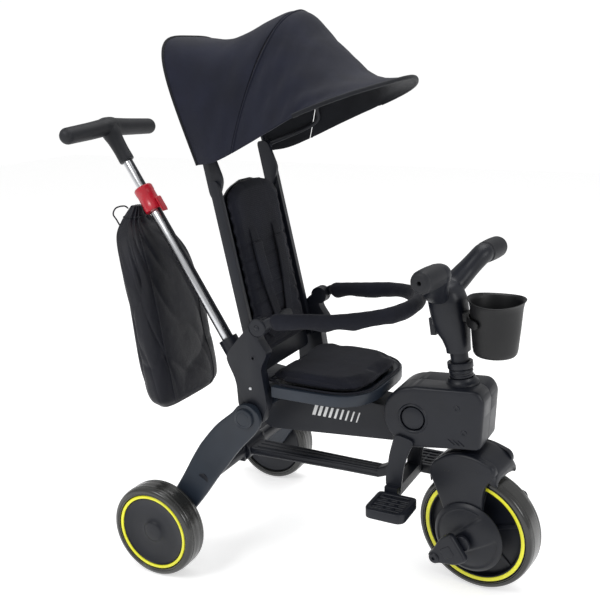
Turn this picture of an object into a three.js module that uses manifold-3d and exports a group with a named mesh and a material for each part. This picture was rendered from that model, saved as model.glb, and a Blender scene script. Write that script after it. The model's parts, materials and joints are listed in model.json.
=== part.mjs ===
// Children's folding tricycle with a canopy, a push bar, a guard bar and a cup holder.
// Millimetres and degrees. X points forward, Y to the rider's left, Z up. While it is built,
// x = 0 and z = 0 lie on the ground below the rear axle; the last lines move the finished
// group so that its origin is the bottom centre of its box.
import * as THREE from 'three';
import { mergeVertices } from 'three/addons/utils/BufferGeometryUtils.js';
import Module from 'manifold-3d';

const wasm = await Module();
wasm.setup();
const rad = THREE.MathUtils.degToRad;

// Clearances
const seam = 0.3;      // between pieces that rest on each other
const running = 0.8;   // around pieces that turn or slide
const press = 4;       // travel of a push button
const flatness = 0.05; // largest step that is smoothed away from a flat face

// Wheels
const wheelbase = 560;
const rear = { radius: 90, width: 50, centre: 226, rim: 75, ring: 68, axle: 8 };
const front = { radius: 112.5, height: 113, width: 52, rim: 99, ring: 89, axle: 7 };
const treadSides = 28;

// Frame
const foldPivot = { x: 446, z: 324, knuckle: 58, hub: 24, tongue: 13, pin: 8, button: 22 };
const beam = { half: 34, back: 122, top: 346, bottom: 246, noseTop: 332, noseBottom: 268 };
const legPivot = { x: 155, z: 312, shaft: 8, cap: 20 };
const bracket = { inner: 112, outer: 134 };
const leg = { thickness: 15 };
const crossMember = { x: 70, z: 180, radius: 13 };
const seat = { front: 383, rail: 16, railTop: 372, railBottom: 352, outer: 125, cushion: 20, back: 178 };
const housing = { half: 48, front: 572, top: 384, bottom: 272 };
const footrest = { x: 411, z: 178, bar: 66, plate: 75, plateCentre: 427, thickness: 20, drop: 8 };
const link = { radius: 14, wide: 32 };

// Steering
const steer = { rake: 8, x: wheelbase, z: front.height, column: 16, rest: -8.5 };
const fork = { half: 44, gap: 29.5, clear: 118.5 };
const stem = { half: 30, bottom: 336, top: 458 };
const bar = { radius: 19, core: 12, grip: 20, bend: 80, end: 152, rise: 49, reach: 42 };
const cup = { x: 582, rim: 47, base: 38, bottom: 452, height: 101, wall: 2.4 };
const crank = { length: 62, angle: 217, inner: 69, thickness: 9 };
const pedal = { length: 69, width: 58, thickness: 16 };

// Back, guard bar and canopy
const back = { x: 151.2, z: 440, recline: 12.2, postInner: 101, postDepth: 20, top: 301, bottom: -58 };
const guard = { x: 180, z: 485, reach: 430, rise: 26, half: 123, tube: 13, tall: 15, corner: 90 };
const hinge = { x: 68, z: 785, pin: 4, inner: 97 };
const fabric = 2.4;
const hoop = 4;

// Push bar
const push = { x: 20, z: 421, lean: 32.46, tube: 12, inner: 10, wall: 1.7, bottom: -72, clamp: 303, hub: 478.8 };
const pushGrip = { half: 140, radius: 17, droop: 3.8 };

const plastic = { color: 0x15171c, roughness: 0.5, metalness: 0 };
const looks = {
  plastic: new THREE.MeshStandardMaterial(plastic),
  slate: new THREE.MeshStandardMaterial({ color: 0x2e3740, roughness: 0.45 }),
  steel: new THREE.MeshStandardMaterial({ color: 0xb8bcc2, roughness: 0.3, metalness: 1 }),
  red: new THREE.MeshStandardMaterial({ color: 0xb8182c, roughness: 0.35 }),
  yellow: new THREE.MeshStandardMaterial({ color: 0xf0ea40, roughness: 0.4 }),
  tyre: new THREE.MeshStandardMaterial({ color: 0x2b2b28, roughness: 0.3 }),
  fabric: new THREE.MeshStandardMaterial({ color: 0x1b1f2b, roughness: 0.9 }),
  bag: new THREE.MeshStandardMaterial({ color: 0x12131a, roughness: 0.6 }),
};

// ---- Solids -------------------------------------------------------------------------------

function toSolid(geometry) {
  const bare = geometry.clone();
  bare.deleteAttribute('normal');
  bare.deleteAttribute('uv');
  const merged = mergeVertices(bare, 1e-3);
  const vertProperties = merged.attributes.position.array;
  const triVerts = new Uint32Array(merged.index.array);
  const solid = new wasm.Manifold(new wasm.Mesh({ numProp: 3, vertProperties, triVerts }));
  if (solid.volume() > 0) return solid;
  return new wasm.Manifold(new wasm.Mesh({ numProp: 3, vertProperties, triVerts: triVerts.reverse() }));
}

function box([x0, x1], [y0, y1], [z0, z1]) {
  const geometry = new THREE.BoxGeometry(x1 - x0, y1 - y0, z1 - z0);
  return toSolid(geometry.translate((x0 + x1) / 2, (y0 + y1) / 2, (z0 + z1) / 2));
}

// A round bar between two points, whose end can have another radius.
function rod(from, to, radius, sides = 16, endRadius = radius) {
  const a = new THREE.Vector3(...from);
  const along = new THREE.Vector3(...to).sub(a);
  const geometry = new THREE.CylinderGeometry(endRadius, radius, along.length(), sides);
  geometry.translate(0, along.length() / 2, 0);
  const up = new THREE.Vector3(0, 1, 0);
  geometry.applyQuaternion(new THREE.Quaternion().setFromUnitVectors(up, along.normalize()));
  return toSolid(geometry.translate(a.x, a.y, a.z));
}

// A round bar along Y at one place in the side view.
function pin(x, z, y0, y1, radius, sides = 16) {
  return rod([x, y0, z], [x, y1, z], radius, sides);
}

// A disc or ring that turns about Y: its profile gives [radius, y] pairs.
function turned(profile, sides, centre) {
  const points = profile.map(([r, y]) => new THREE.Vector2(r, y));
  points.push(points[0].clone());
  const geometry = new THREE.LatheGeometry(points, sides, Math.PI / sides);
  return toSolid(geometry.translate(...centre));
}

// An outline of [a, b] or [a, b, cornerRadius] points, as a closed shape.
function outline(points) {
  const shape = new THREE.Shape();
  const count = points.length;
  for (let i = 0; i < count; i += 1) {
    const here = new THREE.Vector2(points[i][0], points[i][1]);
    const before = new THREE.Vector2(...points[(i + count - 1) % count]).sub(here);
    const after = new THREE.Vector2(...points[(i + 1) % count]).sub(here);
    const cut = Math.min(points[i][2] ?? 0, before.length() * 0.49, after.length() * 0.49);
    const enter = here.clone().add(before.setLength(cut));
    const leave = here.clone().add(after.setLength(cut));
    if (i === 0) shape.moveTo(enter.x, enter.y);
    else shape.lineTo(enter.x, enter.y);
    if (cut > 0) shape.quadraticCurveTo(here.x, here.y, leave.x, leave.y);
  }
  shape.closePath();
  return shape;
}

// A plate cut to an outline and running from one depth to another. The outline is drawn in
// the side view (x, z), the front view (y, z) or the top view (x, y).
const views = {
  side: new THREE.Matrix4().makeBasis(
    new THREE.Vector3(1, 0, 0), new THREE.Vector3(0, 0, 1), new THREE.Vector3(0, -1, 0)),
  front: new THREE.Matrix4().makeBasis(
    new THREE.Vector3(0, 1, 0), new THREE.Vector3(0, 0, 1), new THREE.Vector3(1, 0, 0)),
  top: new THREE.Matrix4(),
};

function plate(view, points, low, high, curveSegments = 3) {
  const depth = high - low;
  const geometry = new THREE.ExtrudeGeometry(outline(points), { depth, bevelEnabled: false, curveSegments });
  geometry.translate(0, 0, view === 'side' ? -high : low);
  return toSolid(geometry.applyMatrix4(views[view]));
}

// A bar of elliptical section along a smooth path; across lies level on a level path.
function sweep(path, tall, across, steps, sides = 12) {
  const curve = new THREE.CatmullRomCurve3(path.map((p) => new THREE.Vector3(...p)), false, 'centripetal');
  const section = new THREE.Shape().absellipse(0, 0, tall, across, 0, 2 * Math.PI, false, 0);
  const options = { steps, extrudePath: curve, bevelEnabled: false, curveSegments: sides };
  return toSolid(new THREE.ExtrudeGeometry(section, options));
}

// A closed surface made by moving every corner of a plain geometry.
function warped(geometry, move) {
  const place = geometry.attributes.position;
  const corner = new THREE.Vector3();
  for (let i = 0; i < place.count; i += 1) {
    corner.fromBufferAttribute(place, i);
    place.setXYZ(i, ...move(corner.x, corner.y, corner.z));
  }
  return toSolid(geometry);
}

function joined(...solids) {
  return solids.reduce((whole, solid) => whole.add(solid));
}

function mirrored(solid) {
  return solid.scale([1, -1, 1]);
}

function addPiece(group, name, solid, look) {
  const { vertProperties, triVerts } = solid.simplify(flatness).getMesh();
  const geometry = new THREE.BufferGeometry();
  geometry.setAttribute('position', new THREE.BufferAttribute(new Float32Array(vertProperties), 3));
  geometry.setIndex(new THREE.BufferAttribute(new Uint32Array(triVerts), 1));
  geometry.computeVertexNormals();
  const mesh = new THREE.Mesh(geometry, look);
  mesh.name = name;
  group.add(mesh);
}

// The left piece lies at positive y, and the right one is its mirror image.
function addPair(group, name, solid, look) {
  addPiece(group, `${name}_left`, solid, look);
  addPiece(group, `${name}_right`, mirrored(solid), look);
}

const tricycle = new THREE.Group();
const steering = new THREE.Group();   // turned by the rest angle about the steering axis
const raked = new THREE.Group();      // its z runs up the steering axis
const backrest = new THREE.Group();   // its z runs up the reclined back
const pushBar = new THREE.Group();    // its z runs up the push bar

// ---- Rear wheels, legs and link -----------------------------------------------------------

function addRearWheels() {
  const half = rear.width / 2;
  const tread = rear.radius / Math.cos(Math.PI / treadSides);
  const at = [0, rear.centre, rear.radius];
  addPair(tricycle, 'rear_tyre', turned([
    [rear.rim + seam, -half + 4], [tread - 6, -half], [tread, -half + 7],
    [tread, half - 7], [tread - 6, half], [rear.rim + seam, half - 4],
  ], treadSides, at), looks.tyre);
  const bore = turned([
    [0, -half], [rear.axle + running, -half], [rear.axle + running, half - 15], [0, half - 15],
  ], 24, at);
  addPair(tricycle, 'rear_rim', turned([
    [0, -half + 3], [24, -half + 3], [30, -half + 8], [rear.rim, -half + 8], [rear.rim, half - 6],
    [rear.ring - seam, half - 6], [rear.ring - seam, half - 2], [56, half - 9], [24, half - 7],
    [18, half - 3], [0, half - 3],
  ], treadSides, at).subtract(bore), looks.plastic);
  addPair(tricycle, 'rear_ring', turned([
    [rear.ring, half - 5], [rear.rim - 0.6, half - 5.6], [rear.rim - 0.6, half - 1], [rear.ring, half - 1],
  ], treadSides, at), looks.yellow);
}

function addRearLegs() {
  const side = plate('side', [
    [138, 334, 14], [172, 334, 14], [191, 304, 24], [132, 236, 40], [74, 146, 60], [34, 62, 26],
    [-8, 56, 26], [-30, 96, 30], [24, 180, 60], [60, 252, 60],
  ], 120, 220, 5);
  const inner = 136;
  const foot = rear.centre - rear.width / 2 - 2 - leg.thickness;
  const band = plate('front', [
    [inner, 345], [inner, 252, 40], [foot, 130, 60], [foot, 40],
    [foot + leg.thickness, 40], [foot + leg.thickness, 134, 60], [inner + leg.thickness, 256, 40],
    [inner + leg.thickness, 345],
  ], -60, 220, 5);
  const shaftHole = pin(legPivot.x, legPivot.z, 100, 220, legPivot.shaft + running);
  const stub = pin(0, rear.radius, rear.centre - 40, rear.centre + rear.width / 2 - 15.8, rear.axle);
  const tubeHole = pin(crossMember.x, crossMember.z, 100, 176, crossMember.radius + seam);
  addPair(tricycle, 'rear_leg', side.intersect(band).add(stub).subtract(shaftHole)
    .subtract(tubeHole), looks.slate);
  const pivotRecess = inner + leg.thickness + seam;
  const head = turned([
    [0, -1], [legPivot.shaft, -1], [legPivot.shaft, 0], [legPivot.cap, 0], [legPivot.cap, 3],
    [legPivot.cap - 3, 6], [0, 6],
  ], 20, [legPivot.x, pivotRecess, legPivot.z]);
  const shaft = pin(legPivot.x, legPivot.z, -pivotRecess, pivotRecess, legPivot.shaft);
  addPiece(tricycle, 'leg_pivot_bolt', joined(shaft, head, mirrored(head)), looks.plastic);
  const tube = pin(crossMember.x, crossMember.z, -175.5, 175.5, crossMember.radius);
  const slot = link.wide + running;
  const lug = box([crossMember.x - 12, crossMember.x + 12], [-slot - 8, slot + 8],
    [crossMember.z - 18, crossMember.z + 18]);
  const lugCut = box([crossMember.x - 30, crossMember.x + 30], [-slot, slot],
    [crossMember.z - 30, crossMember.z + 30]);
  addPiece(tricycle, 'leg_cross_tube', joined(lug.subtract(lugCut), tube), looks.plastic);
}

function addLink() {
  const eyeBack = pin(crossMember.x, crossMember.z, -link.wide, link.wide, crossMember.radius + 8);
  const arm = plate('top', [
    [crossMember.x, -link.wide], [160, -link.wide + 4, 40], [250, -link.radius, 40], [392, -link.radius],
    [392, link.radius], [250, link.radius, 40], [160, link.wide - 4, 40], [crossMember.x, link.wide],
  ], crossMember.z - 9, crossMember.z + 11);
  const eyeFront = pin(393, 195, -link.radius, link.radius, 13);
  const pivotHole = pin(crossMember.x, crossMember.z, -60, 60, crossMember.radius + running);
  const postHole = pin(393, 195, -60, 60, 6 + 1.5);
  addPiece(tricycle, 'link_arm', joined(eyeBack, arm, eyeFront).subtract(pivotHole).subtract(postHole),
    looks.plastic);
}

// ---- Beam, brackets and seat --------------------------------------------------------------

function addBeam() {
  const knuckle = pin(foldPivot.x, foldPivot.z, -60, 60, foldPivot.knuckle + running, 36);
  const body = plate('side', [
    [beam.back, beam.bottom + 14, 14], [beam.back + 20, beam.bottom, 14], [foldPivot.x - 44, beam.noseBottom],
    [foldPivot.x - 44, beam.noseTop], [beam.back + 40, beam.top, 20], [beam.back, beam.top, 14],
  ], -beam.half, beam.half).subtract(knuckle);
  const neckHeight = 15;
  const neck = box([foldPivot.x - 70, foldPivot.x], [-foldPivot.tongue, foldPivot.tongue],
    [foldPivot.z - neckHeight, foldPivot.z + neckHeight - 6]);
  const hub = pin(foldPivot.x, foldPivot.z, -foldPivot.tongue, foldPivot.tongue, foldPivot.hub);
  const foldPin = pin(foldPivot.x, foldPivot.z, -30, 30, foldPivot.pin);
  const boltHole = pin(legPivot.x, legPivot.z, -60, 60, legPivot.shaft + seam);
  addPiece(tricycle, 'main_beam', joined(body, neck, hub, foldPin).subtract(boltHole), looks.plastic);
}

function addBrackets() {
  const side = plate('side', [
    [163, 486, 8], [140, 462, 20], [108, 422, 14], [131, 376, 16], [133, 330, 10], [150, 288, 10],
    [182, 296, 12], [195, 338, 8], [184, 408, 10], [199, 437, 8], [181, 462, 8], [178, 486, 6],
  ], bracket.inner, bracket.outer);
  const lug = pin(guard.x, guard.z, bracket.inner, bracket.inner + 5, 17);
  const guardRoom = pin(guard.x, guard.z, bracket.inner + 5, 140, 17 + running);
  const guardPin = pin(guard.x, guard.z, bracket.inner + 4, guard.half + guard.tube, 5, 16);
  const shaftHole = pin(legPivot.x, legPivot.z, 100, 140, legPivot.shaft + seam);
  addPair(tricycle, 'side_bracket', joined(side, lug).subtract(guardRoom).add(guardPin)
    .subtract(shaftHole), looks.plastic);
}

function addSeat() {
  const outer = seat.outer;
  const inner = outer - seat.rail;
  const curve = 95;
  const start = 199.5;
  const solid = plate('top', [
    [start, -outer], [seat.front, -outer, curve], [seat.front, outer, curve], [start, outer],
  ], seat.railBottom, seat.railTop, 8);
  const hole = plate('top', [
    [start - 9, -inner], [seat.front - seat.rail, -inner, curve - seat.rail],
    [seat.front - seat.rail, inner, curve - seat.rail], [start - 9, inner],
  ], seat.railBottom - 9, seat.railTop + 9, 8);
  const panTop = seat.railTop - 8;
  const pan = plate('top', [
    [seat.back, -inner - 2], [seat.front - seat.rail + 2, -inner - 2, curve - seat.rail],
    [seat.front - seat.rail + 2, inner + 2, curve - seat.rail], [seat.back, inner + 2],
  ], panTop - 6, panTop, 8);
  const rib = plate('side', [
    [seat.back + 6, beam.top + seam], [352, 335 + seam], [352, panTop - 3], [seat.back + 6, panTop - 3],
  ], -26, 26);
  const beamTop = plate('side', [
    [beam.back + 40, beam.top - 40], [foldPivot.x - 44, beam.noseTop - 40],
    [foldPivot.x - 44, beam.noseTop + seam], [beam.back + 40, beam.top + seam],
  ], -60, 60);
  addPiece(tricycle, 'seat_base', joined(solid.subtract(hole), pan, rib).subtract(beamTop), looks.slate);
  const waist = bracket.inner - 6;
  const wide = outer - 6;
  addPiece(tricycle, 'seat_cushion', plate('top', [
    [seat.back + 2, -waist, 14], [start + 3, -waist], [start + 12, -wide], [seat.front - 4, -wide, curve - 4],
    [seat.front - 4, wide, curve - 4], [start + 12, wide], [start + 3, waist], [seat.back + 2, waist, 14],
  ], seat.railTop + seam, seat.railTop + seat.cushion, 8), looks.fabric);
}

// ---- Folding front housing and footrest ---------------------------------------------------

function axisPoint(z) {
  return [steer.x - (z - steer.z) * Math.tan(rad(steer.rake)), 0, z];
}

function addHousing() {
  const shape = plate('side', [
    [foldPivot.x - 8, housing.top - 3, 10], [housing.front - 12, housing.top + 3, 12],
    [housing.front, 366, 18], [housing.front - 6, 284, 12], [540, 283, 10], [foldPivot.x - 5, housing.bottom - 3, 20],
  ], seam / 2, housing.half);
  const knuckle = pin(foldPivot.x, foldPivot.z, seam / 2, housing.half, foldPivot.knuckle, 36);
  const room = foldPivot.tongue + running;
  const hubRoom = pin(foldPivot.x, foldPivot.z, -room, room, foldPivot.hub + running, 32);
  const swings = [0, 9, 18, 27, 36].map((angle) => {
    const neck = box([-80, 0], [-room, room], [-15 - 1, 9 + 1]);
    return neck.rotate([0, angle, 0]).translate([foldPivot.x, 0, foldPivot.z]);
  });
  const pinHole = pin(foldPivot.x, foldPivot.z, -60, 31, foldPivot.pin + running);
  const buttonHole = pin(foldPivot.x, foldPivot.z, housing.half - 12, 60, foldPivot.button + running, 32);
  const column = rod(axisPoint(250), axisPoint(420), steer.column + running, 24);
  const topSeat = rod(axisPoint(housing.top - 10), axisPoint(420), 23 + seam, 24);
  const bottomSeat = rod(axisPoint(250), axisPoint(housing.bottom + 22), 23 + seam, 24);
  const cuts = [hubRoom, ...swings, pinHole, buttonHole, column, topSeat, bottomSeat];
  const shell = cuts.reduce((left, cut) => left.subtract(cut), joined(shape, knuckle));
  addPair(tricycle, 'front_housing', shell, looks.plastic);
  addPair(tricycle, 'fold_button', turned([
    [0, 0], [foldPivot.button, 0], [foldPivot.button, 7], [foldPivot.button - 3, 10],
    [foldPivot.button - 6, 8], [0, 8],
  ], 24, [foldPivot.x, housing.half - 7, foldPivot.z]), looks.plastic);
  const bore = (low, high) => rod(axisPoint(low), axisPoint(high), steer.column + running, 24);
  const upper = rod(axisPoint(housing.top - 9.5), axisPoint(housing.top + 8), 23, 24);
  const lower = rod(axisPoint(housing.bottom + 12), axisPoint(housing.bottom + 21.5), 23, 24);
  addPiece(tricycle, 'steering_bearing', lower.subtract(bore(270, 310)), looks.steel);
  const collar = rod(axisPoint(housing.top + 6), axisPoint(housing.top + 16), 27, 32, 25);
  addPiece(tricycle, 'steering_collar', joined(collar, upper).subtract(bore(360, 410)), looks.plastic);
}

function addFootrest() {
  const half = housing.half;
  const side = plate('side', [
    [footrest.x - 12, footrest.z - 10, 8], [footrest.x + 14, footrest.z - 10, 8], [432, 236, 30],
    [452, 282, 10], [414, 290, 10], [400, 236, 30],
  ], half + seam, half + 6);
  const barSolid = box([footrest.x - 12, footrest.x + 14], [-footrest.bar, footrest.bar],
    [footrest.z - 10, footrest.z + 10]);
  const ear = box([393 - 9, 403], [link.radius + running, link.radius + 9], [footrest.z - 8, 207]);
  const linkPin = pin(393, 195, -link.radius - 5, link.radius + 5, 6, 16);
  addPiece(tricycle, 'footrest_frame', joined(side, mirrored(side), barSolid, ear, mirrored(ear), linkPin)
    .subtract(rod([393, -link.radius - running, 195], [393, link.radius + running, 195], 14.5, 24))
    .add(linkPin), looks.plastic);
  const inner = footrest.bar + running;
  const outer = inner + footrest.plate;
  const frontEdge = footrest.plateCentre + footrest.plate / 2;
  const backEdge = footrest.plateCentre - footrest.plate / 2;
  const level = footrest.z - footrest.drop;
  const top = level + footrest.thickness / 2;
  const blank = plate('top', [
    [backEdge, inner, 4], [frontEdge, inner, 4], [frontEdge, outer, 14], [backEdge, outer, 14],
  ], top - footrest.thickness, top);
  const slots = [0, 1, 2].map((i) => {
    const x = backEdge + 14 + i * 18;
    return box([x, x + 11], [inner + 14, outer - 12], [top - 40, top + 20]);
  });
  addPair(tricycle, 'footplate', slots.reduce((solid, slot) => solid.subtract(slot), blank), looks.plastic);
}

// ---- Steering: fork, column, stem, handlebar and cup --------------------------------------

function addFork() {
  const side = plate('side', [
    [-36, -20, 20], [-46, 45, 20], [-66, 118, 10], [-62, 134, 10], [-22, 158, 20], [22, 158, 20],
    [62, 138, 8], [64, 126, 6], [36, 96, 20], [28, 45, 20], [34, -20, 20], [0, -50, 30],
  ], -fork.half, fork.half, 3);
  const wheelRoom = pin(0, 0, -fork.gap, fork.gap, fork.clear, 28);
  const legRoom = box([-80, 80], [-fork.gap, fork.gap], [-80, 60]);
  const axleHole = pin(0, 0, -80, 80, front.axle + running);
  const columnHole = rod([0, 0, 134], [0, 0, 170], steer.column + seam, 24);
  addPiece(raked, 'fork', side.subtract(wheelRoom).subtract(legRoom).subtract(axleHole)
    .subtract(columnHole), looks.plastic);
  addPiece(raked, 'steering_column', rod([0, 0, 134 + seam], [0, 0, stem.top - 40], steer.column, 24),
    looks.plastic);
  const ring = rod([0, 0, 306], [0, 0, 318], 23, 32).subtract(rod([0, 0, 300], [0, 0, 330],
    steer.column + running, 24));
  addPiece(raked, 'steering_lock_ring', ring, looks.plastic);
  const hole = front.axle + running;
  addPair(raked, 'hub_cover', turned([
    [hole, fork.half + seam], [66, fork.half + seam], [66, fork.half + 6], [54, fork.half + 14],
    [22, fork.half + 20], [hole, fork.half + 20],
  ], 24, [0, 0, 0]), looks.plastic);
}

function addStemAndHandlebar() {
  const side = plate('side', [
    [-20, stem.bottom, 4], [20, stem.bottom, 4], [24, 386, 14], [24, 438, 10], [6, stem.top + 2, 12],
    [-26, stem.top + 2, 12], [-40, 440, 10], [-38, 388, 14],
  ], -stem.half, stem.half);
  const front = plate('front', [
    [-20, stem.bottom], [20, stem.bottom], [stem.half, 392, 20], [stem.half, stem.top + 10],
    [-stem.half, stem.top + 10], [-stem.half, 392, 20],
  ], -60, 60);
  const bend = [bar.reach - 16, bar.bend, 445 + bar.rise];
  const wing = [[-16, 0, 445], [-14, 30, 448], [2, 56, 468], bend, [bend[0], bar.bend + 10, bend[2]]];
  const flip = ([x, y, z]) => [x, -y, z];
  const path = [...wing.slice(1).reverse().map(flip), ...wing];
  const tube = sweep(path, bar.radius, bar.radius, 18, 4);
  const room = sweep(path, bar.radius + seam, bar.radius + seam, 18, 4);
  const columnHole = rod([0, 0, 300], [0, 0, stem.top - 40 + seam], steer.column + seam, 24);
  const core = rod([bend[0], -bar.end + 8, bend[2]], [bend[0], bar.end - 8, bend[2]], bar.core, 16);
  const middle = box([-90, 90], [-bar.bend + 4, bar.bend - 4], [420, 560]);
  addPiece(raked, 'handlebar', joined(tube, core.subtract(middle)), looks.plastic);
  const latchRoom = box([-60, -30], [-13, 13], [366, 400]);
  addPiece(raked, 'stem', side.intersect(front).subtract(room).subtract(columnHole)
    .subtract(latchRoom), looks.plastic);
  addPiece(raked, 'stem_latch', box([-46, -30 - press - running], [-12.4, 12.4], [367, 399]), looks.plastic);
  const start = bar.bend + 10 + seam;
  const grip = rod([bend[0], start, bend[2]], [bend[0], bar.end, bend[2]], bar.grip, 20, bar.grip - 2);
  const gripBore = rod([bend[0], start - 5, bend[2]], [bend[0], bar.end - 8 + seam, bend[2]],
    bar.core + seam, 16);
  const gripHole = rod([bend[0], start, bend[2]], [bend[0], bar.end + 5, bend[2]], 3, 10);
  addPair(raked, 'handlebar_grip', grip.subtract(gripBore).subtract(gripHole), looks.plastic);
}

function addCup() {
  const top = cup.bottom + cup.height;
  const cupAt = [cup.x, 0, cup.bottom];
  const shell = rod(cupAt, [cup.x, 0, top], cup.base, 32, cup.rim);
  const lip = rod([cup.x, 0, top - 5], [cup.x, 0, top], cup.rim + 3, 32);
  const hollow = rod([cup.x, 0, cup.bottom + 3], [cup.x, 0, top + 0.1], cup.base - cup.wall, 32,
    cup.rim - cup.wall);
  addPiece(steering, 'cup', joined(shell, lip).subtract(hollow), looks.plastic);
  const ringLow = 505;
  const ringHigh = 521;
  const growth = (cup.rim - cup.base) / cup.height;
  const radiusAt = (z) => cup.base + growth * (z - cup.bottom);
  const ringRoom = rod([cup.x, 0, ringLow - 1], [cup.x, 0, ringHigh + 1],
    radiusAt(ringLow - 1) + seam, 32, radiusAt(ringHigh + 1) + seam);
  const ring = rod([cup.x, 0, ringLow], [cup.x, 0, ringHigh], cup.rim + 3, 32);
  const arm = box([cup.x - cup.rim - 10, cup.x - cup.rim + 6], [-14, 14], [ringLow, ringHigh]);
  const stemFront = box([24 + seam - 60, 24 + seam], [-40, 40], [330, 440]).rotate([0, -steer.rake, 0])
    .translate([steer.x, 0, steer.z]);
  addPiece(steering, 'cup_bracket', joined(ring, arm).subtract(ringRoom).subtract(stemFront), looks.plastic);
}

// ---- Front wheel and pedals ---------------------------------------------------------------

function addFrontWheel() {
  const half = front.width / 2;
  const at = [wheelbase, 0, front.height];
  addPiece(steering, 'front_tyre', turned([
    [front.rim + seam, -half + 4], [front.radius - 6, -half], [front.radius, -half + 8],
    [front.radius, half - 8], [front.radius - 6, half], [front.rim + seam, half - 4],
  ], treadSides, at), looks.tyre);
  addPiece(steering, 'front_rim', turned([
    [front.axle + seam, -half], [26, -half], [30, -10], [front.ring - 6, -10], [front.ring, -half + 9],
    [front.ring, -half + 3], [front.rim, -half + 2], [front.rim, half - 2], [front.ring, half - 3], [front.ring, half - 9],
    [front.ring - 6, 10], [30, 10], [26, half], [front.axle + seam, half],
  ], treadSides, at), looks.plastic);
  const end = crank.inner + crank.thickness;
  const axle = pin(wheelbase, front.height, -end, end, front.axle);
  const right = crankArm(-1, crank.angle);
  const left = crankArm(1, crank.angle + 180);
  addPiece(steering, 'crank_axle', joined(axle, right, left), looks.plastic);
  addPiece(steering, 'pedal_right', pedalBody(-1, crank.angle), looks.plastic);
  addPiece(steering, 'pedal_left', pedalBody(1, crank.angle + 180), looks.plastic);
}

// Turns a piece drawn along X on the rider's left to its crank angle; side is -1 on the right.
function onCrank(solid, side, angle) {
  const sided = side > 0 ? solid : mirrored(solid);
  return sided.rotate([0, -angle, 0]).translate([wheelbase, 0, front.height]);
}

function crankArm(side, angle) {
  const arm = plate('side', [
    [-14, -13, 12], [crank.length + 12, -10, 10], [crank.length + 12, 10, 10], [-14, 13, 12],
  ], crank.inner, crank.inner + crank.thickness);
  return onCrank(arm, side, angle);
}

// The pedal lies folded flat over the hub.
function pedalBody(side, angle) {
  const low = crank.inner + crank.thickness + running;
  const end = crank.length + 3;
  const half = pedal.width / 2;
  const frame = plate('side', [
    [end, -half, 8], [end, half, 8], [end - pedal.length, half, 8], [end - pedal.length, -half, 8],
  ], low, low + pedal.thickness);
  const windows = [-1, 1].map((row) => box([end - pedal.length + 10, end - 20], [0, 200],
    [row * 15 - 8, row * 15 + 8]));
  return onCrank(windows.reduce((whole, window) => whole.subtract(window), frame), side, angle);
}

// ---- Back, guard bar and canopy -----------------------------------------------------------

// The arm and pin that carry the canopy, drawn along the reclined back.
function canopyHinge() {
  const bracketShape = plate('side', [
    [hinge.x - 12, hinge.z + 10, 10], [hinge.x + 12, hinge.z + 10, 10], [hinge.x + 34, 742, 12],
    [hinge.x + 20, 700, 8], [hinge.x + 6, 712, 12],
  ], hinge.inner - 1, hinge.inner + 7);
  const pivot = pin(hinge.x, hinge.z, hinge.inner, hinge.inner + 25, hinge.pin, 12);
  return joined(bracketShape, pivot).translate([-back.x, 0, -back.z]).rotate([0, back.recline, 0]);
}

function addBack() {
  const inner = back.postInner;
  const outer = bracket.inner - seam;
  const depth = back.postDepth / 2;
  const post = plate('side', [
    [-depth, back.bottom + 20, 6], [depth, back.bottom + 20, 6], [depth - 2, back.top + 8, 8],
    [-depth, back.top + 8, 8],
  ], inner, outer);
  const edge = inner - seam;
  const panel = plate('front', [
    [-edge, back.bottom, 12], [edge, back.bottom, 12], [edge, back.top - 26, 40],
    [0, back.top + 10, 120], [-edge, back.top - 26, 40],
  ], -7, -2);
  const join = box([-7, -2], [-inner - 2, inner + 2], [back.bottom + 40, back.top - 60]);
  const arm = canopyHinge();
  addPiece(backrest, 'back_frame', joined(post, mirrored(post), panel, join, arm, mirrored(arm)),
    looks.plastic);
  addPiece(backrest, 'back_pad', plate('front', [
    [-edge + 2, back.bottom + 22, 16], [edge - 2, back.bottom + 22, 16], [edge - 2, back.top - 46, 40],
    [0, back.top + 6, 120], [-edge + 2, back.top - 46, 40],
  ], -2 + seam, 13), looks.fabric);
  const strap = plate('front', [
    [26, 30, 8], [54, 30, 8], [52, back.top - 90, 8], [28, back.top - 90, 8],
  ], 13 + seam, 20);
  const buckle = plate('front', [
    [-60, 14, 6], [-22, 2, 6], [22, 2, 6], [60, 14, 6], [56, 42, 6], [-56, 42, 6],
  ], 13 + seam, 22);
  addPiece(backrest, 'harness', joined(strap, mirrored(strap), buckle), looks.fabric);
}

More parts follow.
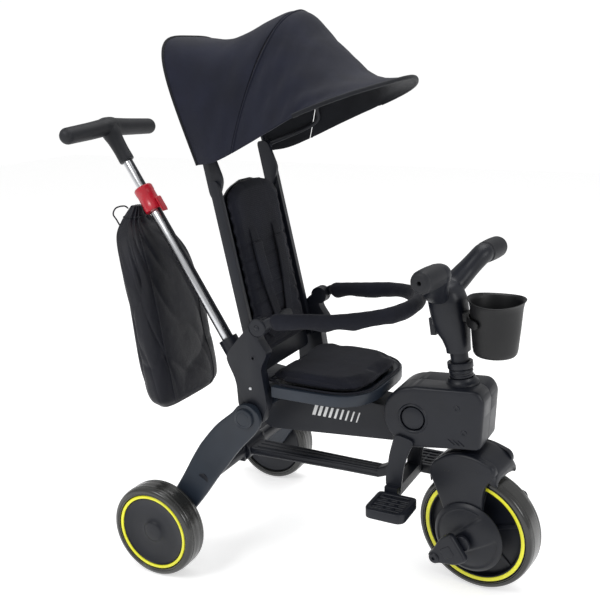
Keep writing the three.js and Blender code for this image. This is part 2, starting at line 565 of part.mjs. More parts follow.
function addGuard() {
  addPair(tricycle, 'guard_socket', turned([
    [5 + running, 0], [17, 0], [17, 6], [5 + running, 6],
  ], 24, [guard.x, bracket.inner + 5 + running, guard.z]), looks.plastic);
  const height = (x) => guard.z + 10 + guard.rise * (x - guard.x) / (guard.reach - guard.x);
  const straight = guard.reach - guard.corner;
  const points = [
    [guard.x + 22, guard.half, height(guard.x + 22)], [straight - 60, guard.half, height(straight - 60)],
    [straight, guard.half - 3, height(straight)],
    [guard.reach - 24, guard.half - 45, height(guard.reach - 24)], [guard.reach, 0, height(guard.reach)],
  ];
  const path = [...points.slice(0, -1), points.at(-1), ...points.slice(0, -1).reverse()
    .map(([x, y, z]) => [x, -y, z])];
  const loop = sweep(path, guard.tall, guard.tube, 26, 4);
  const eyeInner = bracket.inner + 5 + running + 6 + running;
  const eyeOuter = guard.half + guard.tube;
  const eye = pin(guard.x, guard.z, eyeInner, eyeOuter, 17, 24);
  const arm = box([guard.x, guard.x + 34], [eyeInner, eyeOuter], [guard.z - 8, guard.z + 16]);
  const socketRoom = pin(guard.x, guard.z, 100, eyeInner, 17 + running, 24);
  const pinRoom = pin(guard.x, guard.z, 100, 150, 5 + running, 16);
  const end = joined(eye, arm);
  addPiece(tricycle, 'guard_bar', joined(loop, end, mirrored(end)).subtract(socketRoom)
    .subtract(mirrored(socketRoom)).subtract(pinRoom).subtract(mirrored(pinRoom)), looks.fabric);
}

// Stations of the canopy from the rear hoop to the front edge: where each arch's foot is and
// how far out, where its crest is, and how square the arch is (2 is round).
const arches = [
  { foot: [66, 128, 772], crest: [-22, 995], square: 4.2 },
  { foot: [105, 140, 779], crest: [92, 990], square: 2.7 },
  { foot: [150, 148, 797], crest: [210, 1032], square: 2.1 },
  { foot: [225, 163, 832], crest: [262, 985], square: 2.2 },
  { foot: [272, 178, 854], crest: [325, 925], square: 2.3 },
  { foot: [290, 181, 863], crest: [410, 911], square: 2 },
];

function along(list, t) {
  const curve = new THREE.CatmullRomCurve3(list.map((p) => new THREE.Vector3(...p)));
  return curve.getPoint(THREE.MathUtils.clamp(t, 0, 1));
}

// A point of the canopy: t runs 0 to 1 from rear to front, across -1 to 1, sunk inward.
function canopyPoint(t, across, sunk) {
  const foot = along(arches.map((a) => a.foot), t);
  const crest = along(arches.map((a) => [a.crest[0], 0, a.crest[1]]), t);
  const square = along(arches.map((a) => [a.square, 0, 0]), t).x;
  const angle = across * Math.PI / 2;
  const rise = Math.max(Math.cos(angle), 0) ** (2 / square);
  const spread = Math.sign(across) * Math.abs(Math.sin(angle)) ** (2 / square);
  const lift = new THREE.Vector2(crest.x - foot.x, crest.z - foot.z);
  const shrink = Math.max(0, 1 - sunk / lift.length());
  return [
    foot.x + lift.x * rise * shrink,
    (foot.y - sunk) * spread,
    foot.z + lift.y * rise * shrink,
  ];
}

function canopyPanel(from, to, rows) {
  const blank = new THREE.BoxGeometry(1, 1, 1, rows, 12, 1);
  return warped(blank, (x, y, z) => canopyPoint(from + (x + 0.5) * (to - from), y * 2, (0.5 - z) * fabric));
}

function canopyHoop(t, sunk, low, hingeY) {
  const path = [];
  for (let i = -6; i <= 6; i += 1) path.push(canopyPoint(t, i / 6 * 0.94, sunk));
  const first = [hinge.x, -hingeY, low];
  const last = [hinge.x, hingeY, low];
  return sweep([first, ...path, last], hoop, hoop, 20, 2);
}

function addCanopy() {
  const middle = 0.4;
  addPiece(tricycle, 'canopy_rear_fabric', canopyPanel(0, middle - 0.003, 4), looks.fabric);
  addPiece(tricycle, 'canopy_front_fabric', canopyPanel(middle + 0.003, 1, 6), looks.fabric);
  const sunk = fabric + hoop + 3;
  const rearHinge = hinge.inner + 12;
  const eye = (y) => pin(hinge.x, hinge.z, y - 3, y + 3, 9, 20);
  const bore = pin(hinge.x, hinge.z, -160, 160, hinge.pin + running, 16);
  const rearHoop = canopyHoop(0.02, sunk, hinge.z, rearHinge);
  addPiece(tricycle, 'canopy_rear_hoop', joined(rearHoop, eye(rearHinge), eye(-rearHinge)).subtract(bore),
    looks.plastic);
  const middleHinge = rearHinge + 9;
  const middleHoop = canopyHoop(middle + 0.02, sunk, hinge.z, middleHinge);
  addPiece(tricycle, 'canopy_middle_hoop', joined(middleHoop, eye(middleHinge), eye(-middleHinge))
    .subtract(bore), looks.plastic);
}

// ---- Push bar and bag ---------------------------------------------------------------------

function addPushBar() {
  const lower = rod([0, 0, push.bottom], [0, 0, push.clamp + 20], push.tube, 20)
    .subtract(rod([0, 0, push.bottom - 5], [0, 0, push.clamp + 25], push.inner + seam, 20));
  addPiece(pushBar, 'push_tube_lower', lower, looks.steel);
  const upper = rod([0, 0, 130], [0, 0, push.hub - 12], push.inner, 20)
    .subtract(rod([0, 0, 125], [0, 0, push.hub], push.inner - push.wall, 20));
  addPiece(pushBar, 'push_tube_upper', upper, looks.steel);
  const clampLow = push.clamp - 20;
  const clamp = rod([0, 0, clampLow], [0, 0, push.clamp + 34], 20, 24)
    .subtract(rod([0, 0, clampLow - 5], [0, 0, push.clamp + 20 + seam], push.tube + seam, 20))
    .subtract(rod([0, 0, clampLow], [0, 0, push.clamp + 60], push.inner + running, 20));
  addPiece(pushBar, 'height_clamp', clamp, looks.red);
  addPiece(pushBar, 'clamp_lever', plate('side', [
    [20 + running, push.clamp + 2, 3], [29, push.clamp + 2, 6], [28, push.clamp - 34, 6], [20 + running, push.clamp - 34, 3],
  ], -9, 9), looks.plastic);
  const droop = pushGrip.half * Math.tan(rad(pushGrip.droop));
  const wing = rod([0, 0, push.hub], [0, pushGrip.half, push.hub - droop], pushGrip.radius, 20, pushGrip.radius - 2);
  const sleeve = rod([0, 0, push.hub - 80], [0, 0, push.hub], pushGrip.radius - 2, 20, pushGrip.radius);
  const hub = rod([0, 0, push.hub - pushGrip.radius], [0, 0, push.hub + pushGrip.radius - 2], pushGrip.radius, 20);
  const sleeveBore = rod([0, 0, push.hub - 90], [0, 0, push.hub - 12 + seam], push.inner + seam, 20);
  addPiece(pushBar, 'push_grip', joined(wing, mirrored(wing), sleeve, hub).subtract(sleeveBore), looks.plastic);
}

// The socket that holds the push bar, on a saddle that sits on the beam.
function addSocket() {
  const sleeve = rod([0, 0, push.bottom - 8], [0, 0, -16], 20, 24);
  const tubeRoom = rod([0, 0, push.bottom - seam], [0, 0, 60], push.tube + seam, 20);
  const placed = (solid) => solid.rotate([0, -push.lean, 0]).translate([push.x, 0, push.z]);
  const saddle = plate('side', [
    [62, 346, 6], [beam.back - 6, beam.bottom + 60], [beam.back - seam, beam.bottom + 40],
    [beam.back - seam, beam.top + seam], [168, beam.top + seam], [168, beam.top + 9, 4], [74, 366, 6],
  ], -24, 24);
  addPiece(tricycle, 'push_bar_socket', joined(saddle, placed(sleeve)).subtract(placed(tubeRoom)),
    looks.plastic);
}

// Levels of the hanging bag: height, centre, half depth and half width.
const bagLevels = [
  [272, -80, 18, 88], [292, -86, 30, 106], [340, -96, 35, 109], [400, -106, 34, 109],
  [480, -119, 33, 105], [560, -140, 34, 94], [612, -166, 32, 68], [640, -180, 22, 36], [668, -176, 11, 15],
];

function addBag() {
  const rows = bagLevels.length - 1;
  const blank = new THREE.CylinderGeometry(1, 1, rows, 16, rows);
  const square = 2.6;
  const solid = warped(blank, (x, y, z) => {
    const [height, centre, depth, width] = bagLevels[Math.round(y + rows / 2)];
    const swell = (value) => Math.sign(value) * Math.abs(value) ** (2 / square);
    return [centre + depth * swell(x), width * swell(z), height];
  });
  addPiece(tricycle, 'bag', solid, looks.bag);
}

// The drawstring's route, from the bag's neck round its loop to the knotted end.
const drawstring = {
  radius: 1.6,
  route: [[-195, -7, 661], [-200, -14, 667], [-213, -24, 664], [-217, -30, 652], [-209, -30, 640], [-203, -27, 626]],
};

function addDrawstring() {
  addPiece(tricycle, 'bag_drawstring', sweep(drawstring.route, drawstring.radius, drawstring.radius, 12, 2),
    looks.bag);
}

// ---- Assembly -----------------------------------------------------------------------------

addRearWheels();
addRearLegs();
addLink();
addBeam();
addBrackets();
addSeat();
addHousing();
addFootrest();
addFork();
addStemAndHandlebar();
addCup();
addFrontWheel();
addBack();
addGuard();
addCanopy();
addPushBar();
addSocket();
addBag();
addDrawstring();

const steeringAxis = new THREE.Vector3(-Math.sin(rad(steer.rake)), 0, Math.cos(rad(steer.rake)));
const steeringBase = new THREE.Vector3(steer.x, 0, steer.z);
const turn = new THREE.Quaternion().setFromAxisAngle(steeringAxis, rad(steer.rest));
steering.quaternion.copy(turn);
steering.position.copy(steeringBase).sub(steeringBase.clone().applyQuaternion(turn));
raked.position.copy(steeringBase);
raked.rotation.y = rad(-steer.rake);
steering.add(raked);
backrest.position.set(back.x, 0, back.z);
backrest.rotation.y = rad(-back.recline);
pushBar.position.set(push.x, 0, push.z);
pushBar.rotation.y = rad(-push.lean);
tricycle.add(steering, backrest, pushBar);

const group = new THREE.Group();
group.add(tricycle);
const bounds = new THREE.Box3().setFromObject(group, true);
tricycle.position.set(-(bounds.min.x + bounds.max.x) / 2, -(bounds.min.y + bounds.max.y) / 2, -bounds.min.z);

export default group;
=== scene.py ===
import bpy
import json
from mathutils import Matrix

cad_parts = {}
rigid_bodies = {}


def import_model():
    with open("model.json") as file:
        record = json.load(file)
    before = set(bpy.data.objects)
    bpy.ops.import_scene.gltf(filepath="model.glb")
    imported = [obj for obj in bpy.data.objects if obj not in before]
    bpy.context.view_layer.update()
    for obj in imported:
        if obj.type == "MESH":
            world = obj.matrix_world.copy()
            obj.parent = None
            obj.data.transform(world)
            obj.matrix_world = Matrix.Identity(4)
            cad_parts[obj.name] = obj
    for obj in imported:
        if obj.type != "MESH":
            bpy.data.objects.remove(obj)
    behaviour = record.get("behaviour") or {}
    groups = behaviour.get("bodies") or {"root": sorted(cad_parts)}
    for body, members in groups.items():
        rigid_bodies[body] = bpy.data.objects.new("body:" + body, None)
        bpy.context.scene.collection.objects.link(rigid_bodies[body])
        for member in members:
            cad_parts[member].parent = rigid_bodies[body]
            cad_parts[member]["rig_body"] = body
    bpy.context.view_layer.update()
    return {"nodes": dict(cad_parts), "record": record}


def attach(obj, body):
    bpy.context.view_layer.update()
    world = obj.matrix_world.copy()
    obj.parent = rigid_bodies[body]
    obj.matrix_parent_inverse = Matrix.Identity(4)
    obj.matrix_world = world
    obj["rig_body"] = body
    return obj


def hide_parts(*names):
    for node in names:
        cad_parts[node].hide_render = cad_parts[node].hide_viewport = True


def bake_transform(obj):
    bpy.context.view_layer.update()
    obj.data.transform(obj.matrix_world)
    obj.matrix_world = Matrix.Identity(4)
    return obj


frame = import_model()

import json
import math
import bmesh
import bpy
import numpy as np
from mathutils import Matrix, Vector

record = frame["record"]
joints = {joint["name"]: joint for joint in record["behaviour"]["joints"]}
bodyOf = {node: body for body, nodes in record["behaviour"]["bodies"].items() for node in nodes}
slotOf = {part["node"]: part["material_slot"] for part in record["subparts"]}

# Lengths below are millimetres from the ground under the rear axle; place() turns them
# into the frame's metres.
rearAxle = np.array([joints["rear_wheel_spin_left"]["pos_m"][0], 0.0, 0.0])
steerBase = np.array(joints["steer"]["pos_m"])
steerAxis = np.array(joints["steer"]["axis"])
wheelAxis = np.array(joints["front_wheel_spin"]["axis"])
restTurn = -math.asin(np.linalg.norm(np.cross([0, 1, 0], wheelAxis)) / np.linalg.norm(np.cross(steerAxis,
        [0, 1, 0])))


def place(points):
    return np.asarray(points, float) / 1000 + rearAxle


# Points turned by an angle in the side view and carried to an origin (x, z) there.
def sideTurned(points, origin, degrees):
    points = np.asarray(points, float)
    c, s = math.cos(math.radians(degrees)), math.sin(math.radians(degrees))
    x = origin[0] + points[..., 0] * c - points[..., 2] * s
    z = origin[1] + points[..., 0] * s + points[..., 2] * c
    return np.stack([x, points[..., 1], z], -1)


# Placed points turned about the steering axis to where the front wheel points at rest.
def placeSteered(points):
    turn = np.array(Matrix.Rotation(restTurn, 3, Vector(steerAxis)))
    return (place(points) - steerBase) @ turn.T + steerBase


# ---- camera, light and floor

camera = {"azimuth": 28.31, "elevation": 15.31, "roll": -1.46, "lens": 52.9, "distance": 1.6857,
        "target": (197.4, 0, 505.4)}


def addCamera():
    turn, rise, roll = (math.radians(camera[k]) for k in ("azimuth", "elevation", "roll"))
    look = np.array([-math.sin(turn) * math.cos(rise), math.cos(turn) * math.cos(rise), -math.sin(rise)])
    level = np.array([math.cos(turn), math.sin(turn), 0])
    above = np.cross(level, look)
    right = level * math.cos(roll) + above * math.sin(roll)
    up = above * math.cos(roll) - level * math.sin(roll)
    data = bpy.data.cameras.new("camera")
    data.lens = camera["lens"]
    data.sensor_width = 36
    obj = bpy.data.objects.new("camera", data)
    eye = place(camera["target"]) - look * camera["distance"]
    pose = np.eye(4)
    pose[:3, 0], pose[:3, 1], pose[:3, 2], pose[:3, 3] = right, up, -look, eye
    obj.matrix_world = Matrix(pose.tolist())
    bpy.context.scene.collection.objects.link(obj)
    bpy.context.scene.camera = obj


def addLight(name, where, size, power, aim=(0, 0, 0.5)):
    data = bpy.data.lights.new(name, "AREA")
    data.shape = "DISK"
    data.size = size
    data.energy = power
    obj = bpy.data.objects.new(name, data)
    obj.location = where
    obj.rotation_euler = (Vector(aim) - Vector(where)).to_track_quat("-Z", "Y").to_euler()
    bpy.context.scene.collection.objects.link(obj)


def addStudio():
    world = bpy.data.worlds.new("studio")
    bpy.context.scene.world = world
    world.use_nodes = True
    nodes, links = world.node_tree.nodes, world.node_tree.links
    rays = nodes.new("ShaderNodeLightPath")
    level = nodes.new("ShaderNodeMapRange")   # the backdrop is seen white and lights the part more softly
    level.inputs["To Min"].default_value = 0.55
    level.inputs["To Max"].default_value = 1.02
    links.new(rays.outputs["Is Camera Ray"], level.inputs["Value"])
    nodes["Background"].inputs[0].default_value = (1, 1, 1, 1)
    links.new(level.outputs["Result"], nodes["Background"].inputs[1])
    bpy.context.scene.view_settings.view_transform = "Standard"
    addLight("keyLight", (-0.9, -2.0, 2.3), 1.2, 30)
    addLight("sideLight", (2.2, -0.6, 1.3), 0.9, 13)
    addLight("topLight", (0.1, 0.6, 2.6), 1.8, 24)
    floorMesh = bpy.data.meshes.new("floor")
    reach = 6
    corners = [(-reach, -reach, 0), (reach, -reach, 0), (reach, reach, 0), (-reach, reach, 0)]
    floorMesh.from_pydata(corners, [], [(0, 1, 2, 3)])
    floor = bpy.data.objects.new("floor", floorMesh)
    bpy.context.scene.collection.objects.link(floor)
    paint = bpy.data.materials.new("paleFloor")
    paint.use_nodes = True
    sockets = paint.node_tree.nodes["Principled BSDF"].inputs
    sockets["Base Color"].default_value = (0.86, 0.86, 0.86, 1)
    sockets["Roughness"].default_value = 0.8
    sockets["Emission Color"].default_value = (1, 1, 1, 1)
    sockets["Emission Strength"].default_value = 0.5
    floorMesh.materials.append(paint)


addCamera()
addStudio()
print("camera and studio ready")

# ---- materials


# One node material: layers of noise or weave mixed into its colour, roughness and bump.
class Finish:
    def __init__(self, name, colour, rough, **sockets):
        self.material = bpy.data.materials.new(name)
        self.material.use_nodes = True
        self.nodes = self.material.node_tree.nodes
        self.links = self.material.node_tree.links
        self.shader = self.nodes["Principled BSDF"]
        self.shader.inputs["Base Color"].default_value = (*colour, 1)
        self.shader.inputs["Roughness"].default_value = rough
        for socket, value in sockets.items():
            self.shader.inputs[socket.replace("_", " ")].default_value = value
        self.where = self.nodes.new("ShaderNodeTexCoord").outputs["Object"]
        self.normal = None

    def make(self, kind, **values):
        node = self.nodes.new(kind)
        for key, value in values.items():
            if hasattr(node, key):
                setattr(node, key, value)
            else:
                node.inputs[key.replace("_", " ")].default_value = value
        return node

    def noise(self, scale, detail=3, stretch=(1, 1, 1)):
        mapping = self.make("ShaderNodeMapping")
        mapping.inputs["Scale"].default_value = stretch
        self.links.new(self.where, mapping.inputs["Vector"])
        node = self.make("ShaderNodeTexNoise", Scale=scale, Detail=detail)
        self.links.new(mapping.outputs[0], node.inputs["Vector"])
        return node.outputs["Fac"]

    def weave(self, scale):
        # two crossed sine bands, multiplied
        bands = []
        for direction in ("X", "Z"):
            node = self.make("ShaderNodeTexWave", bands_direction=direction, Scale=scale, Distortion=0.6)
            self.links.new(self.where, node.inputs["Vector"])
            bands.append(node.outputs["Fac"])
        both = self.make("ShaderNodeMath", operation="MULTIPLY")
        self.links.new(bands[0], both.inputs[0])
        self.links.new(bands[1], both.inputs[1])
        return both.outputs[0]

    def vary(self, source, dark, light, low=0.3, high=0.7):
        ramp = self.make("ShaderNodeValToRGB")
        ramp.color_ramp.elements[0].position = low
        ramp.color_ramp.elements[1].position = high
        ramp.color_ramp.elements[0].color = (*dark, 1)
        ramp.color_ramp.elements[1].color = (*light, 1)
        self.links.new(source, ramp.inputs[0])
        self.links.new(ramp.outputs[0], self.shader.inputs["Base Color"])

    def roughen(self, source, low, high):
        ramp = self.make("ShaderNodeMapRange", To_Min=low, To_Max=high)
        self.links.new(source, ramp.inputs["Value"])
        self.links.new(ramp.outputs[0], self.shader.inputs["Roughness"])

    def bump(self, source, strength, distance):
        node = self.make("ShaderNodeBump", Strength=strength, Distance=distance)
        self.links.new(source, node.inputs["Height"])
        if self.normal:
            self.links.new(self.normal, node.inputs["Normal"])
        self.normal = node.outputs[0]
        self.links.new(self.normal, self.shader.inputs["Normal"])


def shade(colour, factor):
    return tuple(min(1, c * factor) for c in colour)


# A finish in layers: colour clouds (scale, detail, darkest, lightest), patches of roughness
# (scale, detail, low, high, stretch) and bumps of noise (scale, detail, strength, height,
# stretch) or weave (scale, strength, height).
def layered(name, colour, rough, clouds=None, patches=None, bumps=(), weave=None, **sockets):
    finish = Finish(name, colour, rough, **sockets)
    if clouds:
        scale, detail, dark, light = clouds
        finish.vary(finish.noise(scale, detail), shade(colour, dark), shade(colour, light))
    if patches:
        scale, detail, low, high, *stretch = patches
        finish.roughen(finish.noise(scale, detail, *stretch), low, high)
    for scale, detail, strength, height, *stretch in bumps:
        finish.bump(finish.noise(scale, detail, *stretch), strength, height)
    if weave:
        scale, strength, height = weave
        finish.bump(finish.weave(scale), strength, height)
    return finish.material


def mouldedPlastic(name, colour, rough=0.42, grain=900, coat=0.0):
    return layered(name, colour, rough, (9, 4, 0.7, 1.2), (28, 5, rough - 0.07, rough + 0.1),
            [(grain, 2, 0.12, 0.0004)], Specular_IOR_Level=0.36, Coat_Weight=coat, Coat_Roughness=0.3)


def wovenCloth(name, colour, scale, lift, sheen=0.06):
    return layered(name, colour, 0.82, (14, 5, 0.8, lift), bumps=[(22, 4, 0.25, 0.004)], weave=(scale, 0.35,
            0.0006), Sheen_Weight=sheen, Sheen_Roughness=0.45, Specular_IOR_Level=0.22)


def nylonCloth(name, colour):
    return layered(name, colour, 0.5, (8, 5, 0.75, 1.5), (16, 4, 0.42, 0.6), [(30, 5, 0.35, 0.006)], (700,
            0.2, 0.0004), Sheen_Weight=0.04, Sheen_Roughness=0.4, Specular_IOR_Level=0.32)


def satinSteel(name):
    return layered(name, (0.62, 0.63, 0.65), 0.27, None, (60, 6, 0.2, 0.36, (1, 1, 0.05)),
            [(240, 3, 0.08, 0.0003, (1, 1, 0.03))], Metallic=1.0)


def smokyTyre(name):
    return layered(name, (0.017, 0.0175, 0.0165), 0.2, (12, 4, 0.75, 1.8), (35, 5, 0.14, 0.34),
            [(120, 3, 0.08, 0.0008)], Coat_Weight=0.25, Coat_Roughness=0.1, Specular_IOR_Level=0.5)


def yellowRing(name):
    return layered(name, (0.8, 0.78, 0.02), 0.32, (18, 3, 0.9, 1.1), bumps=[(500, 2, 0.06, 0.0003)],
            Coat_Weight=0.3, Coat_Roughness=0.2)


def redPaint(name):
    return layered(name, (0.42, 0.006, 0.02), 0.3, (25, 3, 0.85, 1.12), bumps=[(600, 2, 0.06, 0.0003)],
            Coat_Weight=0.4, Coat_Roughness=0.15)


finishes = {"black_plastic": mouldedPlastic("blackPlastic", (0.0052, 0.0066, 0.0115)),
        "slate_plastic": mouldedPlastic("slatePlastic", (0.0135, 0.0195, 0.03), 0.4, 800, 0.08),
        "steel": satinSteel("satinSteel"), "red_paint": redPaint("redPaint"),
        "yellow_plastic": yellowRing("yellowRing"), "tyre": smokyTyre("smokyTyre"),
        "canopy_fabric": wovenCloth("canopyWeave", (0.0062, 0.0074, 0.0165), 520, 1.4),
        "seat_fabric": wovenCloth("seatWeave", (0.0045, 0.0052, 0.0098), 420, 1.5),
        "bag_fabric": nylonCloth("bagNylon", (0.0045, 0.005, 0.0095)),
        "rubber": mouldedPlastic("gripRubber", (0.0085, 0.0095, 0.013), 0.55, 1400), }
softBlack = mouldedPlastic("cupPlastic", (0.0042, 0.0044, 0.0055), 0.46, 700)
whitePrint = mouldedPlastic("whitePrint", (0.75, 0.75, 0.75), 0.5, 900)
silverBolt = satinSteel("silverBolt")
print("materials ready")

# ---- shared mesh helpers


# Quads between neighbouring rows and columns; wrap joins the last column to the first, and
# ring the last row to the first.
def gridFaces(rows, columns, wrap=True, ring=False):
    r = np.arange(rows if ring else rows - 1)
    c = np.arange(columns if wrap else columns - 1)
    r, c = np.meshgrid(r, c, indexing="ij")
    nextRow = (r + 1) % rows
    nextColumn = (c + 1) % columns
    quads = [r * columns + c, r * columns + nextColumn, nextRow * columns + nextColumn, nextRow * columns + c]
    return np.stack(quads, -1).reshape(-1, 4).tolist()


# One closed shell from a grid of points: rows by columns, with flat ends where asked.
def gridShell(grid, ring=False, ends=True):
    rows, columns = grid.shape[:2]
    faces = gridFaces(rows, columns, True, ring)
    if ends and not ring:
        faces.append(list(range(columns))[::-1])
        faces.append([(rows - 1) * columns + c for c in range(columns)])
    return grid.reshape(-1, 3), faces


def combine(*shells):
    points, faces, count = [], [], 0
    for shellPoints, shellFaces in shells:
        points.append(shellPoints)
        faces += [[i + count for i in face] for face in shellFaces]
        count += len(shellPoints)
    return np.vstack(points), faces


# Links a finished shell as a piece that rides on a body and stands for CAD nodes. finish is
# a material, or a slot's name, and then a piece that stands for nothing takes that slot.
def addPiece(name, shell, finish, body, stands=(), angle=38):
    points, faces = shell
    mesh = bpy.data.meshes.new(name)
    mesh.from_pydata(np.asarray(points).tolist(), [], faces)
    tidy = bmesh.new()
    tidy.from_mesh(mesh)
    bmesh.ops.remove_doubles(tidy, verts=tidy.verts, dist=1e-5)
    bmesh.ops.recalc_face_normals(tidy, faces=tidy.faces)
    tidy.to_mesh(mesh)
    tidy.free()
    mesh.polygons.foreach_set("use_smooth", np.ones(len(mesh.polygons), bool))
    mesh.set_sharp_from_angle(angle=math.radians(angle))
    mesh.materials.append(finishes.get(finish, finish))
    obj = bpy.data.objects.new(name, mesh)
    bpy.context.scene.collection.objects.link(obj)
    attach(obj, body)
    if stands:
        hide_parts(*stands)
    return obj


# A smooth curve through the points, with even steps between them (Catmull-Rom).
def smoothPath(points, count, closed=False):
    p = np.asarray(points, float)
    p = np.vstack([p[-1:], p, p[:2]]) if closed else np.vstack([2 * p[0] - p[1], p, 2 * p[-1] - p[-2]])
    spans = len(p) - 3
    t = np.linspace(0, spans, count, endpoint=not closed)
    i = np.minimum(t.astype(int), spans - 1)
    f = (t - i)[:, None]
    a, b, c, d = p[i], p[i + 1], p[i + 2], p[i + 3]
    bend = 2 * a - 5 * b + 4 * c - d
    return 0.5 * (2 * b + (c - a) * f + bend * f ** 2 + (3 * b - a - 3 * c + d) * f ** 3)


# A loop whose corners are rounded: (u, v, radius) points, each corner a quarter-turn curve.
def roundedLoop(corners, steps=6):
    p = np.array([[c[0], c[1]] for c in corners], float)
    r = np.array([c[2] if len(c) > 2 else 0 for c in corners], float)
    before, after = np.roll(p, 1, 0) - p, np.roll(p, -1, 0) - p
    lengthBefore, lengthAfter = np.linalg.norm(before, axis=1), np.linalg.norm(after, axis=1)
    cut = np.minimum(r, np.minimum(lengthBefore, lengthAfter) * 0.49)
    enter = p + before / lengthBefore[:, None] * cut[:, None]
    leave = p + after / lengthAfter[:, None] * cut[:, None]
    t = np.linspace(0, 1, steps + 1)[None, :, None]
    curve = enter[:, None] * (1 - t) ** 2 + 2 * p[:, None] * t * (1 - t) + leave[:, None] * t ** 2
    return curve.reshape(-1, 2)


# Points round a section: 2 is an ellipse, and higher powers are squarer.
def roundSection(sides, power=2.0):
    angle = np.linspace(0, 2 * np.pi, sides, endpoint=False)
    c, s = np.cos(angle), np.sin(angle)
    return np.stack([np.sign(c) * np.abs(c) ** (2 / power), np.sign(s) * np.abs(s) ** (2 / power)], 1)


# A section carried along a path. wide lies across the path in the plane that is square to
# the reference direction, and deep lies along the reference.
def sweepShell(path, wide, deep, sides=24, power=2.0, reference=(0, 1, 0), ring=False):
    path = np.asarray(path, float)
    ahead = np.roll(path, -1, 0) - np.roll(path, 1, 0) if ring else np.gradient(path, axis=0)
    ahead = ahead / np.linalg.norm(ahead, axis=1)[:, None]
    across = np.cross(ahead, np.asarray(reference, float))
    across = across / np.linalg.norm(across, axis=1)[:, None]
    over = np.cross(across, ahead)
    section = roundSection(sides, power)
    wide = np.broadcast_to(np.asarray(wide, float), (len(path),))[:, None, None]
    deep = np.broadcast_to(np.asarray(deep, float), (len(path),))[:, None, None]
    grid = path[:, None] + across[:, None] * section[None, :, :1] * wide + over[:, None] * section[None, :,
            1:] * deep
    return gridShell(grid, ring)


# Scales along a path whose first and last steps shrink to a dome.
def domedEnds(count, steps=5):
    scale = np.ones(count)
    fall = np.sqrt(1 - (1 - np.linspace(0.08, 1, steps)) ** 2)
    scale[:steps] = fall
    scale[-steps:] = fall[::-1]
    return scale


# A profile of (radius, along) turned about an axis through a centre.
def turnedShell(profile, centre, axis=(0, 1, 0), sides=72):
    profile = np.asarray(profile, float)
    axis = np.asarray(axis, float) / np.linalg.norm(axis)
    start = np.cross(axis, [0, 0, 1.0] if abs(axis[2]) < 0.9 else [1.0, 0, 0])
    start = start / np.linalg.norm(start)
    side = np.cross(axis, start)
    angle = np.linspace(0, 2 * np.pi, sides, endpoint=False)
    spokes = np.cos(angle)[:, None] * start + np.sin(angle)[:, None] * side
    grid = np.asarray(centre, float) + profile[:, None, :1] * spokes[None] + profile[:, None, 1:] * axis
    closed = bool(np.allclose(profile[0], profile[-1]))
    return gridShell(grid[:-1] if closed else grid, ring=closed, ends=not closed)


# A plate with rounded rims: the outline is drawn in the side, front or top view and runs
# from one depth to the other, and its rims are quarter circles of the edge radius.
def plateShell(loop, low, high, edge, view="side", steps=4):
    loop = np.asarray(loop, float)
    ahead = np.roll(loop, -1, 0) - np.roll(loop, 1, 0)
    area = np.sum(loop[:, 0] * np.roll(loop[:, 1], -1) - np.roll(loop[:, 0], -1) * loop[:, 1])
    inward = np.stack([-ahead[:, 1], ahead[:, 0]], 1) * np.sign(area)
    inward = inward / np.maximum(np.linalg.norm(inward, axis=1), 1e-9)[:, None]
    lowEdge, highEdge = edge if isinstance(edge, tuple) else (edge, edge)
    t = np.linspace(0, np.pi / 2, steps + 1)
    inset = np.concatenate([lowEdge * (1 - np.sin(t)), highEdge * (1 - np.cos(t))])
    depth = np.concatenate([low + lowEdge * (1 - np.cos(t)), high - highEdge * (1 - np.sin(t))])
    flat = loop[None] + inward[None] * inset[:, None, None]
    deep = np.broadcast_to(depth[:, None, None], flat.shape[:2] + (1,))
    order = {"side": (0, 2, 1), "front": (2, 0, 1), "top": (0, 1, 2)}[view]
    grid = np.concatenate([flat, deep], 2)[..., list(order)]
    return gridShell(grid)


def mirroredShell(shell):
    points, faces = shell
    return points * np.array([1, -1, 1]), faces


def bothSides(shell):
    return combine(shell, mirroredShell(shell))


def moved(shell, how):
    points, faces = shell
    return how(points), faces


# The same piece on the left and, mirrored, on the right, each on its own body.
def addPair(name, shell, finish, bodies, stands=(), how=place, **options):
    for side, body in zip(("left", "right"), bodies):
        sided = shell if side == "left" else mirroredShell(shell)
        nodes = tuple(f"{node}_{side}" for node in stands)
        addPiece(f"{name}_{side}", moved(sided, how), finish, body, nodes, **options)


# A CAD node's own shape with its flats merged and its edges rounded by edge millimetres.
def softenNode(node, edge):
    source = frame["nodes"][node]
    mesh = source.data.copy()
    tidy = bmesh.new()
    tidy.from_mesh(mesh)
    bmesh.ops.remove_doubles(tidy, verts=tidy.verts, dist=2e-5)
    bmesh.ops.dissolve_limit(tidy, angle_limit=math.radians(2), verts=tidy.verts, edges=tidy.edges)
    tidy.to_mesh(mesh)
    tidy.free()
    mesh.materials.clear()
    mesh.materials.append(finishes[slotOf[node]])
    mesh.polygons.foreach_set("use_smooth", np.ones(len(mesh.polygons), bool))
    obj = bpy.data.objects.new(node + "_shell", mesh)
    bpy.context.scene.collection.objects.link(obj)
    bevel = obj.modifiers.new("roundedEdges", "BEVEL")
    bevel.width = edge / 1000
    bevel.segments = 3
    bevel.limit_method = "ANGLE"
    bevel.angle_limit = math.radians(32)
    bevel.harden_normals = True
    bevel.use_clamp_overlap = True
    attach(obj, bodyOf[node])
    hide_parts(node)


# ---- drawstring, a free cord

drawstring = {"radius": 1.6, "route": [(-195, -7, 661), (-200, -14, 667), (-213, -24, 664), (-217, -30,
        652), (-209, -30, 640), (-203, -27, 626)]}


